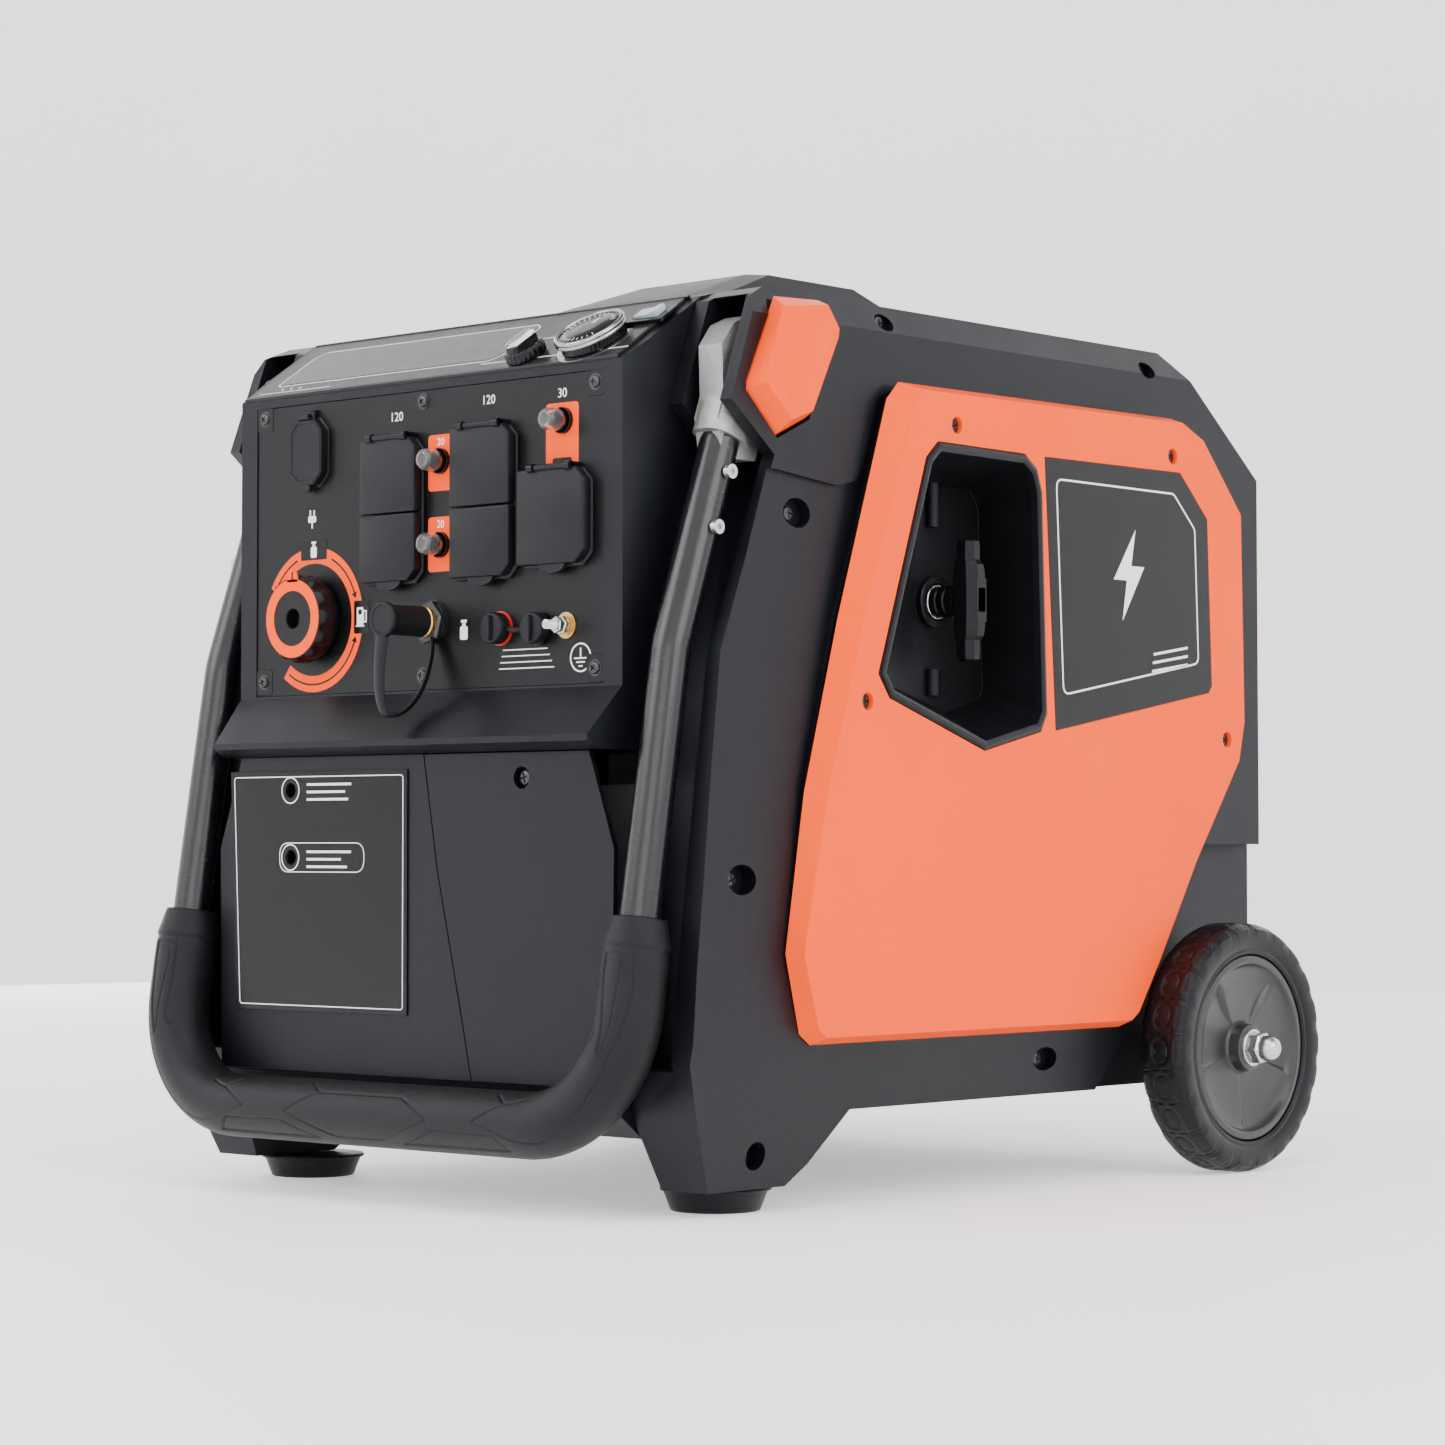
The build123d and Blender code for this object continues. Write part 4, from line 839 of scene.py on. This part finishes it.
dial_at = slope(138, 25.5)
piece("dial_skirt", stages([(circle(21.6, 192), 2.5), (circle(22, 192), 3.0),
                            (toothed(22.2, 0.5, 48, 192), 3.6), (toothed(22.2, 0.5, 48, 192), 7.4),
                            (circle(22, 192), 7.8)], dial_at),
      "gloss_black", "dial", replaces="start_dial", smooth=50)
piece("dial_band", lathe([(22.0, 7.7), (24.2, 8.1), (24.5, 8.7), (24.5, 9.6), (24.0, 10.0),
                          (24.0, 10.5), (24.5, 10.9), (24.5, 12.0), (23.9, 13.0), (22.9, 13.5),
                          (21.9, 13.2), (21.6, 12.4), (21.6, 7.7)], dial_at, n=96, closed=True),
      "chrome", "dial", smooth=60)
piece("dial_top", lathe([(21.7, 8.0), (21.7, 12.4), (20.6, 12.6), (20.2, 12.3), (19.8, 12.6),
                         (6.0, 13.0), (0.02, 13.05)], dial_at, n=96, caps=(True, True)),
      "gloss_black", "dial")
ticks = []
for k in range(25):
    a = math.radians(30 + 5 * k * 2.4)
    r0, r1 = (16.2, 18.6) if k % 4 else (15.0, 18.6)
    ticks.append(plate(spoke(r0, r1, a, 0.22), 12.4, 12.85, dial_at))
ticks.append(plate([(-1.4, 5), (1.4, 5), (0, 13)], 12.5, 13.08, dial_at))
piece("dial_marks", merge(*ticks), "white", "dial")
piece("dial_base_ring", merge(lathe([(27.0, 2.0), (26.4, 2.35), (22.6, 2.35), (22.6, 2.0)],
                                    dial_at, n=96, closed=True)),
      "chrome", "housing")

knob_at = slope(86, 15)
piece("mode_knob_skirt", stages([(circle(13.2, 120), 2.5), (toothed(14, 0.9, 24, 120), 3.2),
                                 (toothed(14, 0.9, 24, 120), 8.4), (circle(12.6, 120), 10.0),
                                 (circle(11.5, 120), 10.2)], knob_at),
      "gloss_black", "small_knob", replaces="mode_knob", smooth=50)
wing = rounded(rect(-5.5, 5.5, -12, 12), 3.5)
piece("mode_knob_wing", stages([(wing, 9.8), (wing, 13.4), (inset(wing, 0.9), 14.2)], knob_at),
      "gloss_black", "small_knob")
clear = inset(wing, 0.6)
piece("mode_knob_cap", stages([(clear, 14.25), (clear, 16.2), (inset(clear, 0.9), 16.9),
                               (inset(clear, 2.2), 17.0)], knob_at),
      "smoke", "small_knob", smooth=60)

rock_at = slope(165, 54)
cup = rounded(rect(-18, 18, -10.5, 10.5), 3)
hole = rounded(rect(-10.9, 10.9, -5.9, 5.9), 1.0)
piece("rocker_frame", band(cup, hole, 1.9, 4.6, rock_at), "gloss_black", "housing", 0.6)
wedge = plate([(-10.4, 2.6), (10.4, 2.6), (10.4, 8.0), (8.6, 8.2), (0.2, 6.3), (-9.6, 6.0),
               (-10.4, 5.6)], -5.4, 5.4, lambda u, v, w: rock_at(u, w, v))
piece("rocker_key", wedge, "pale", "rocker", 0.5, replaces="rocker_switch")

# ------------------------------------------------------------------ handle grip
GRIP_TOP = 186.0
TUBE_X, BAR_Y, BAR_Z, CORNER = 213.0, -322.0, 57.0, 74.0
KNEE = (-273.0, 355.0)


def grip_half():
    """Centre line of half the grip: points, distances from the middle of the bar."""
    arm = (Vector((TUBE_X, *KNEE)) - Vector((TUBE_X, BAR_Y, BAR_Z))).normalized()
    length = (GRIP_TOP - BAR_Z) / arm.z
    turn = corner_path([(0, BAR_Y, BAR_Z), (TUBE_X, BAR_Y, BAR_Z),
                        Vector((TUBE_X, BAR_Y, BAR_Z)) + arm * length], [CORNER], 80)
    fine = [turn[0]]
    for p in turn[1:]:
        gap = (p - fine[-1]).length
        count = max(1, round(gap / 1.2))
        start = fine[-1]
        fine += [start.lerp(p, (k + 1) / count) for k in range(count)]
    dist = [0.0]
    for a, b in zip(fine, fine[1:]):
        dist.append(dist[-1] + (b - a).length)
    return fine, dist


def stroke_distance(s, a, lines):
    best = 99.0
    for line in lines:
        for (s0, a0), (s1, a1) in zip(line, line[1:]):
            if min(s0, s1) - 2 > s or max(s0, s1) + 2 < s:
                continue
            ds, da = s1 - s0, a1 - a0
            t = max(0.0, min(1.0, ((s - s0) * ds + (a - a0) * da) / (ds * ds + da * da)))
            best = min(best, math.hypot(s - s0 - t * ds, a - a0 - t * da))
    return best


def inside(s, a, loop):
    hit = False
    for (s0, a0), (s1, a1) in zip(loop, loop[1:] + loop[:1]):
        if (a0 > a) != (a1 > a) and s < (s1 - s0) * (a - a0) / (a1 - a0) + s0:
            hit = not hit
    return hit


def make_grip():
    points, dist = grip_half()
    full = dist[-1]
    pocket = [(full - 24, -6.5), (full - 24, 6.5), (full - 36, 7.0), (full - 62, 4.0),
              (full - 84, 0.6), (full - 86, -2.2), (full - 62, -4.8), (full - 36, -7.2)]
    wedge_pocket = [(40, -18.5), (137, -17.5), (127, -6), (73, -5)]
    lines = [[(0, 15.3), (39, 15.3), (67, 0.8), (21, -15.8), (0, -15.8)],
             [(150, 20), (132, 15), (108, 2), (160, -13), (205, -9), (full - 84, -9),
              (full - 52, -16), (full - 22, -15)],
             [(39, 15.3), (52, 24)], [(132, 15), (120, 24)],
             [(full - 96, 18), (full - 78, 9), (full - 52, 12), (full - 22, 12)],
             wedge_pocket + wedge_pocket[:1], pocket + pocket[:1]]
    angles = [math.radians(-84 + 168 * k / 92) for k in range(93)]
    angles += [math.radians(84 + 192 * k / 24) for k in range(1, 24)]
    collar = [(0.0, 17.0), (2.0, 17.6), (15.0, 20.6), (17.0, 21.0), (18.6, 21.0), (19.4, 20.2),
              (21.0, 20.2), (22.0, 20.8), (24.0, 21.0), (900.0, 21.0)]
    loops = []
    for sign in (-1, 1):
        order = range(len(points) - 1, 0, -1) if sign < 0 else range(len(points))
        for i in order:
            p = points[i]
            before, after = points[max(i - 1, 0)], points[min(i + 1, len(points) - 1)]
            t = (after - before).normalized()
            ahead = Vector((0, -1, 0))
            ahead = (ahead - t * ahead.dot(t)).normalized()
            across = ahead.cross(t).normalized()
            from_end = full - dist[i]
            for (d0, r0), (d1, r1) in zip(collar, collar[1:]):
                if d0 <= from_end <= d1:
                    base = r0 + (r1 - r0) * (from_end - d0) / (d1 - d0)
                    break
            loop = []
            for ang in angles:
                a = base * (ang if ang <= math.pi else ang - 2 * math.pi)
                r = base
                if abs(a) < 30 and from_end > 20:
                    d = stroke_distance(dist[i], a, lines)
                    r -= 1.0 * max(0.0, 1.0 - d / 1.0)
                    if inside(dist[i], a, pocket) or inside(dist[i], a, wedge_pocket):
                        r -= 0.6
                q = p + ahead * (r * math.cos(ang)) + across * (r * math.sin(ang))
                loop.append((sign * q.x, q.y, q.z))
            loops.append(loop)
    return loft(loops)


piece("grip_foam", make_grip(), "foam", "handle", replaces="handle_grip",
      smooth=180)

# ------------------------------------------------------------------ latches
for sign, word in ((1, "right"), (-1, "left")):
    ribs = []
    for k in range(21):
        t = 0.06 + 0.9 * k / 20
        base = Vector((-203, 578)).lerp(Vector((-231, 521)), t)
        face_edge = Vector((-209, 570)).lerp(Vector((-225, 524)), t)
        ribs.append(tube([(sign * 238.5, base.x + 1.0, base.y - 0.6),
                          (sign * 248.6, face_edge.x + 0.5, face_edge.y - 0.3)],
                         [0.8, 0.8], 8))
    at = side(sign, corners("right_latch_button")[1][0])
    ribs.append(ring(4.6, 4.0, -0.05, 0.25, at, -199, 514, n=32))
    ribs.append(stages([(rounded([(-203, 560), (-166, 564), (-163, 556), (-187, 513),
                                  (-200, 508), (-213, 524)], 6), -0.05),
                        (rounded([(-202, 558.5), (-167, 562), (-165, 556), (-188, 515),
                                  (-199.5, 510), (-211.5, 524.5)], 6), 0.7)], at))
    piece(f"{word}_latch_ribs", merge(*ribs), "orange", f"{word}_latch",
          smooth=30)

# ------------------------------------------------------------------ starter grip and pocket
SY, SZ = middle("starter_rope", 1) + middle("starter_grip", 2)
grip_sections = [(-41.0, 230.5, 241.0, 4.6), (-39.6, 228.6, 242.6, 6.4), (-36, 228, 243, 7.0),
                 (-27, 228, 243, 7.0), (-24, 227, 245.6, 8.2), (-19, 226.4, 246.6, 9.0),
                 (-8, 226, 247, 9.0), (0, 226, 247, 9.0)]
grip_sections += [(-z, a, b, h) for z, a, b, h in reversed(grip_sections[:-1])]
loops = []
for z, x0, x1, half in grip_sections:
    cut = half * 0.45
    slice_xy = [(x0, -half + cut), (x0 + cut, -half), (x1 - cut * 1.5, -half),
                (x1, -half + cut * 1.3), (x1, half - cut * 1.3), (x1 - cut * 1.5, half),
                (x0 + cut, half), (x0, half - cut)]
    loops.append([(x, SY + y, SZ + z) for x, y in slice_xy])
tee = loft(loops)
at = lambda u, v, w: (w, SY + u, SZ + v)
neck = lathe([(8.5, 210.6), (10.5, 211.6), (10.5, 214.0), (9.6, 214.8), (9.6, 217.4),
              (10.5, 218.2), (10.5, 220.6), (9.6, 221.4), (9.6, 224.0), (10.5, 225.0),
              (10.5, 228.5), (0.02, 228.5)], at, n=40)
plaque = plate(rounded(rect(-5.2, 5.2, -15, 15), 2), 246.6, 247.0, at, 0.3)
piece("starter_tee", merge(tee, neck, plaque), "satin_black", "starter", 0.9, 25,
      replaces="starter_grip", smooth=25)
ribs = [tube([(204.2, SY, z0), (204.2, SY, z1)], 5.5, 20) for z0, z1 in ((446, 476), (332, 350))]
ribs.append(lathe([(16.5, 205.5), (17.5, 207), (17.5, 208.6), (16.2, 209.4), (13.0, 209.4),
                   (12.4, 208.0), (12.4, 205.5)], at, n=48, closed=True))
piece("pocket_ribs", merge(*ribs), "recess", "housing", smooth=40)
RIM = [(-78, 484), (-66, 495), (27, 494), (40, 485), (45.6, 470), (50.5, 320), (43.7, 308),
       (-17.4, 294), (-116, 326), (-127, 341)]
rim_loop = rounded(RIM, 4)
lip = [(inset(rim_loop, 1.0), 258.6), (inset(rim_loop, 1.2), 260.0), (inset(rim_loop, 2.4), 260.6),
       (inset(rim_loop, 4.6), 260.6), (inset(rim_loop, 6.0), 259.6), (inset(rim_loop, 6.2), 254.0)]
lip_loops = [[(w, u, v) for u, v in loop] for loop, w in lip]
piece("pocket_lip", loft(lip_loops, (False, False)), "recess", "housing")

# ------------------------------------------------------------------ indicator plate
cover = front(corners("label_plates")[0][1])
marks = [ring(9.0, 8.2, 0, 0.1, cover, -113.5, z)
         for z in (268, 223)]
pill = rounded(rect(-124.5, -40, 213, 233), 9.9, 8)
marks.append(band(pill, inset(pill, 0.6), 0, 0.1, cover))
border = rounded([(-171.5, 277.5), (-2.5, 277.5), (-2.5, 123.5), (-164.8, 123.5)], 3)
marks.append(band(border, inset(border, 0.7), 0, 0.1, cover))
marks += [plate(rect(-97, -97 + w, z, z + 1.6), 0, 0.1, cover)
          for w, z in ((44, 271), (38, 266), (41, 261), (44, 226), (34, 221), (40, 216))]
piece("indicator_prints", merge(*marks), "white", "housing")

# ------------------------------------------------------------------ side badges
outline = rounded([(61, 480.6), (199, 480), (225, 456), (229, 360), (68.5, 332.6)], 7, 6)
for sign, word in ((1, "right"), (-1, "left")):
    at = side(sign, corners("label_plates")[1][0])
    prints = [band(outline, inset(outline, 1.3), -0.02, 0.14, at),
              icon_bolt(at, 145, 419, 64, -0.02, 0.14)]
    for k in range(3):
        z = 352 + 6 * k
        prints.append(plate([(172 + k, z), (215, z + 6.2), (215, z + 8), (172 + k, z + 1.8)],
                            -0.02, 0.14, at))
    piece(f"{word}_badge_prints", merge(*prints), "white", "housing")

# ------------------------------------------------------------------ wheels
WY, WZ = middle("right_tyre", 1, 2)
WR = corners("right_tyre")[1][2] - WZ
TREADS = 22


def tread_height(s, x, pitch):
    """Groove depth in the tread at s along the tyre and x across it from the middle."""
    u = (s % pitch) - pitch / 2
    ring = abs(math.hypot(u / 8.6, x / 6.2) - 1.0) * 7.0
    small = abs(math.hypot(u / 5.6, x / 3.6) - 1.0) * 4.5
    d = min(ring, small + 0.5)
    v = abs(abs(u) - pitch / 2)
    zig = 10.5 + 1.8 * (1 if abs(u) < pitch * 0.3 else -1)
    d = min(d, abs(abs(x) - zig) + 0.1)
    if abs(x) > zig:
        d = min(d, abs(v - 1.5), abs(abs(u) - pitch * 0.22) + 0.3)
    elif abs(x) > 1.5:
        d = min(d, v + 0.2 if abs(x) < 7.5 else 9.0)
    return 1.0 * max(0.0, 1.0 - d / 1.15)


def make_tyre():
    around = 23 * TREADS
    pitch = 2 * math.pi * WR / TREADS
    section = [(66.2, 257.4), (66.4, 255.2), (68.2, 254.0), (70.2, 254.2), (71.4, 253.4),
               (75.0, 252.5), (79.5, 252.1), (82.5, 252.3)]
    cross = [-17.6 + 35.2 * k / 30 for k in range(31)]
    crown = []
    for x in cross:
        drop = 0.0 if abs(x) < 9 else 5.2 * ((abs(x) - 9) / 10.0) ** 2.2
        crown.append((WR - drop, 271 + x))
    section += [(84.0, 252.7)] + crown
    section += [(84.0, 289.3)] + [(r, 542 - x) for r, x in reversed(section[:8])]
    loops = []
    for i in range(around):
        a = 2 * math.pi * i / around
        s = a * WR
        loop = []
        for r, x in section:
            if r > 80.5:
                r -= tread_height(s, x - 271, pitch)
                u = (s % pitch) - pitch / 2
                if abs(x - 271) > 17.0 and abs(u) > pitch * 0.3:
                    x -= math.copysign(0.7, x - 271)
            loop.append((x, WY + r * math.sin(a), WZ - r * math.cos(a)))
        loops.append(loop)
    return loft(loops, closed=True)


def make_hub():
    """Rim barrel, inner web and the creased outer disc."""
    around = 180
    creases = 5
    loops = []
    for i in range(around):
        a = 2 * math.pi * i / around
        phase = (a / (2 * math.pi) * creases) % 1.0
        swing = phase / 0.94 if phase < 0.94 else (1.0 - phase) / 0.06
        fold = 3.4 * (swing - 0.5)
        profile = [(65.9, 258.0, 0), (65.9, 285.0, 0), (64.6, 286.6, 0), (61.0, 287.2, 0),
                   (59.4, 286.6, 0), (57.6, 283.4, 0), (54.5, 281.2, 0.35), (46, 279.8, 1.0),
                   (36, 278.8, 0.9), (26, 278.2, 0.6), (19, 278.6, 0.2), (17.4, 280.4, 0),
                   (16.0, 287.6, 0), (13.6, 288.4, 0), (8.2, 288.4, 0), (8.2, 250.2, 0),
                   (19.4, 250.2, 0), (21, 264.0, 0), (58.0, 265.6, 0), (61.0, 257.6, 0)]
        loops.append([(x + fold * k, WY + r * math.sin(a), WZ - r * math.cos(a))
                      for r, x, k in profile])
    return loft(loops, closed=True)


def across(shape):
    return [(-x, y, z) for x, y, z in shape[0]], shape[1]


axle_at = lambda u, v, w: (w, WY + u, WZ + v)
tyre, hub = make_tyre(), make_hub()
nut_loop = rounded(hexagon(20, 0, 0, 8), 1.6)
nut = merge(stages([(inset(nut_loop, 0.9), 290.6), (nut_loop, 291.4), (nut_loop, 298.2),
                    (inset(nut_loop, 1.3), 299.4), (circle(8.8, len(nut_loop)), 299.6)], axle_at),
            lathe([(8.9, 299.0), (9.0, 302.0), (8.7, 304.4), (7.8, 306.8), (6.2, 308.9),
                   (4.0, 310.3), (1.8, 310.9), (0.02, 311.0)], axle_at, n=40),
            lathe([(13.0, 288.5), (13.0, 290.1), (12.5, 290.5), (8.3, 290.5), (8.3, 288.5)],
                  axle_at, n=40, closed=True))
for word, flip in (("right", lambda s: s), ("left", across)):
    piece(f"{word}_tyre_tread", flip(tyre), "tyre", f"{word}_wheel", replaces=f"{word}_tyre",
          smooth=35)
    piece(f"{word}_hub_disc", flip(hub), "wheel", f"{word}_wheel", replaces=f"{word}_wheel_hub",
          smooth=28)
piece("acorn_nuts", merge(nut, across(nut)), "zinc", "housing", replaces="axle_nuts",
      smooth=30)

# ------------------------------------------------------------------ feet
foot_shapes = []
FOOT_X = corners("front_feet")[1][0] - 36
FOOT_Y, = middle("front_feet", 1)
for x in (-FOOT_X, FOOT_X):
    at = lambda u, v, w, x=x: (x + u, FOOT_Y + v, w)
    foot_shapes.append(lathe([(27.5, 0.0), (28.6, 0.6), (29.4, 2.4), (33.2, 12.4), (35.4, 13.2),
                              (35.9, 14.2), (35.4, 15.4), (34.0, 15.6)], at, n=64))
    foot_shapes += [lathe([(12 + 6 * k, 0.35), (13.5 + 6 * k, 0.0), (15 + 6 * k, 0.35),
                           (13.5 + 6 * k, 0.8)], at, n=48, closed=True) for k in range(2)]
piece("rubber_feet", merge(*foot_shapes), "rubber", "housing", replaces="front_feet")

# ------------------------------------------------------------------ fuel cap
CAP_Y, = middle("fuel_cap", 1)
cap_at = lambda u, v, w: (u, CAP_Y + v, w)
cap_n = 224
bar_loop = rounded(rect(-31, 31, -6.5, 6.5), 4)
fuel_cap_shape = merge(
    stages([(circle(36.6, cap_n), 587.2), (toothed(38, 1.6, 28, cap_n), 588.4),
            (toothed(38, 1.6, 28, cap_n), 602.0), (circle(36.0, cap_n), 604.8),
            (circle(33.0, cap_n), 605.6), (circle(32.0, cap_n), 604.6), (circle(20, cap_n), 604.2)],
           cap_at),
    stages([(bar_loop, 603.5), (inset(bar_loop, 0.4), 612.6), (inset(bar_loop, 1.6), 614.6),
            (inset(bar_loop, 2.8), 615.0)], cap_at))
piece("fuel_cap_knurled", fuel_cap_shape, "satin_black", "tank_cap", replaces="fuel_cap",
      smooth=35)

# ------------------------------------------------------------------ rear and left side
back = rear(corners("rear_cover")[1][1])
EX, EZ = 95.0, 400.0
guard = [ring(46, 40.5, -2.0, -0.02, back, EX, EZ, n=72),
         ring(33, 31, -4.0, -2.2, back, EX, EZ, n=72)]
guard += [plate(spoke(25, 42, math.radians(60 * k + 30), 1.3, EX, EZ), -4.2, -2.1, back)
          for k in range(6)]
guard.append(ring(27, 24.6, -12, -2.2, back, EX, EZ, n=72))
piece("exhaust_guard", merge(*guard), "dark_steel", "housing")
wires = []
for k in range(-5, 6):
    h = math.sqrt(20.2 ** 2 - (k * 3.6) ** 2)
    wires.append(tube([(EX + k * 3.6, 331, EZ - h), (EX + k * 3.6, 331, EZ + h)], 0.5, 6))
    wires.append(tube([(EX - h, 330.4, EZ + k * 3.6), (EX + h, 330.4, EZ + k * 3.6)], 0.5, 6))
piece("spark_screen", merge(*wires), "zinc", "housing")
blades = []
for k in range(9):
    z = 330 + 16 * k
    blades.append(loft([[(x, 341.6, z - 0.6), (x, 342.4, z + 0.8), (x, 331.0, z + 10.2),
                         (x, 330.0, z + 8.8)] for x in (-152, -8)]))
for k in range(7):
    z = 345 + 20 * k
    y0 = -92 + 6 * k
    blades.append(loft([[(-257.6, y, z - 0.8), (-258.0, y, z + 0.8), (-247.5, y, z + 10.8),
                         (-247.5, y, z + 9.0)] for y in (y0 - 1.5, 31.5)]))
piece("vent_blades", merge(*blades), "satin_black", "housing")
rear_heads = [placed(BIG_HEAD, back, x, z, -2.7, 20 * x)
              for x in (-168, 0, 168) for z in (90, 478)]
piece("rear_screws", merge(*rear_heads), "dark_steel", "housing", smooth=30)


# ------------------------------------------------------------------ studio
def area_light(name, location, aim, size, power):
    data = bpy.data.lights.new(name, "AREA")
    data.energy = power
    data.shape = "RECTANGLE"
    data.size = size
    data.size_y = size
    obj = new_object(name, data)
    obj.location = location
    obj.rotation_euler = (Vector(aim) - Vector(location)).to_track_quat("-Z", "Y").to_euler()


def make_floor():
    """Round studio: a flat floor that curves up into a wall all the way round."""
    flat, bend, top_z, around, steps = 3.6, 2.2, 6.0, 96, 14
    rows = [(0.01, 0.0), (1.2, 0.0), (flat, 0.0)]
    rows += [(flat + bend * math.sin(a), bend - bend * math.cos(a))
             for a in (math.pi / 2 * (i + 1) / steps for i in range(steps))]
    rows.append((flat + bend, top_z))
    verts = [(r * math.cos(2 * math.pi * k / around), r * math.sin(2 * math.pi * k / around), z)
             for r, z in rows for k in range(around)]
    faces = [(i * around + k, i * around + (k + 1) % around, (i + 1) * around + (k + 1) % around,
              (i + 1) * around + k) for i in range(len(rows) - 1) for k in range(around)]
    faces.append(tuple(range(around)))
    mesh = bpy.data.meshes.new("floor")
    mesh.from_pydata(verts, [], faces)
    mesh.shade_smooth()
    mesh.materials.append(MAT["floor"])
    new_object("floor", mesh)


make_floor()
LIGHTS = {  # place, aim, size in metres, power in watts
    "key_left": ((-1.6, -3.0, 2.4), (0, 0, 0.35), 2.2, 58),
    "key_right": ((3.2, -0.4, 2.0), (0, 0, 0.3), 2.2, 56),
    "top": ((0.9, -1.2, 3.2), (0, 0, 0.3), 2.2, 62),
    "front_fill": ((1.8, -3.2, 0.7), (0, 0, 0.3), 2.0, 24),
    "rear_fill": ((-3.2, 1.4, 0.9), (0, 0, 0.3), 1.8, 30),
    "rear_low": ((-0.2, 3.4, 1.1), (0, 0.2, 0.3), 1.4, 14),
}
for light_name, light in LIGHTS.items():
    area_light(light_name, *light)

world = bpy.data.worlds.new("studio")
world.use_nodes = True
tuned(world.node_tree.nodes["Background"], Color=(1, 1, 1, 1), Strength=0.5)
bpy.context.scene.world = world

camera_data = bpy.data.cameras.new("camera")
camera_data.lens = 92.89
camera_data.sensor_width = 36.0
camera = new_object("camera", camera_data)
camera.location = (1.7862, -1.9644, 0.230)
camera.rotation_euler = (math.radians(91.912), 0.0, math.radians(42.138))
bpy.context.scene.camera = camera
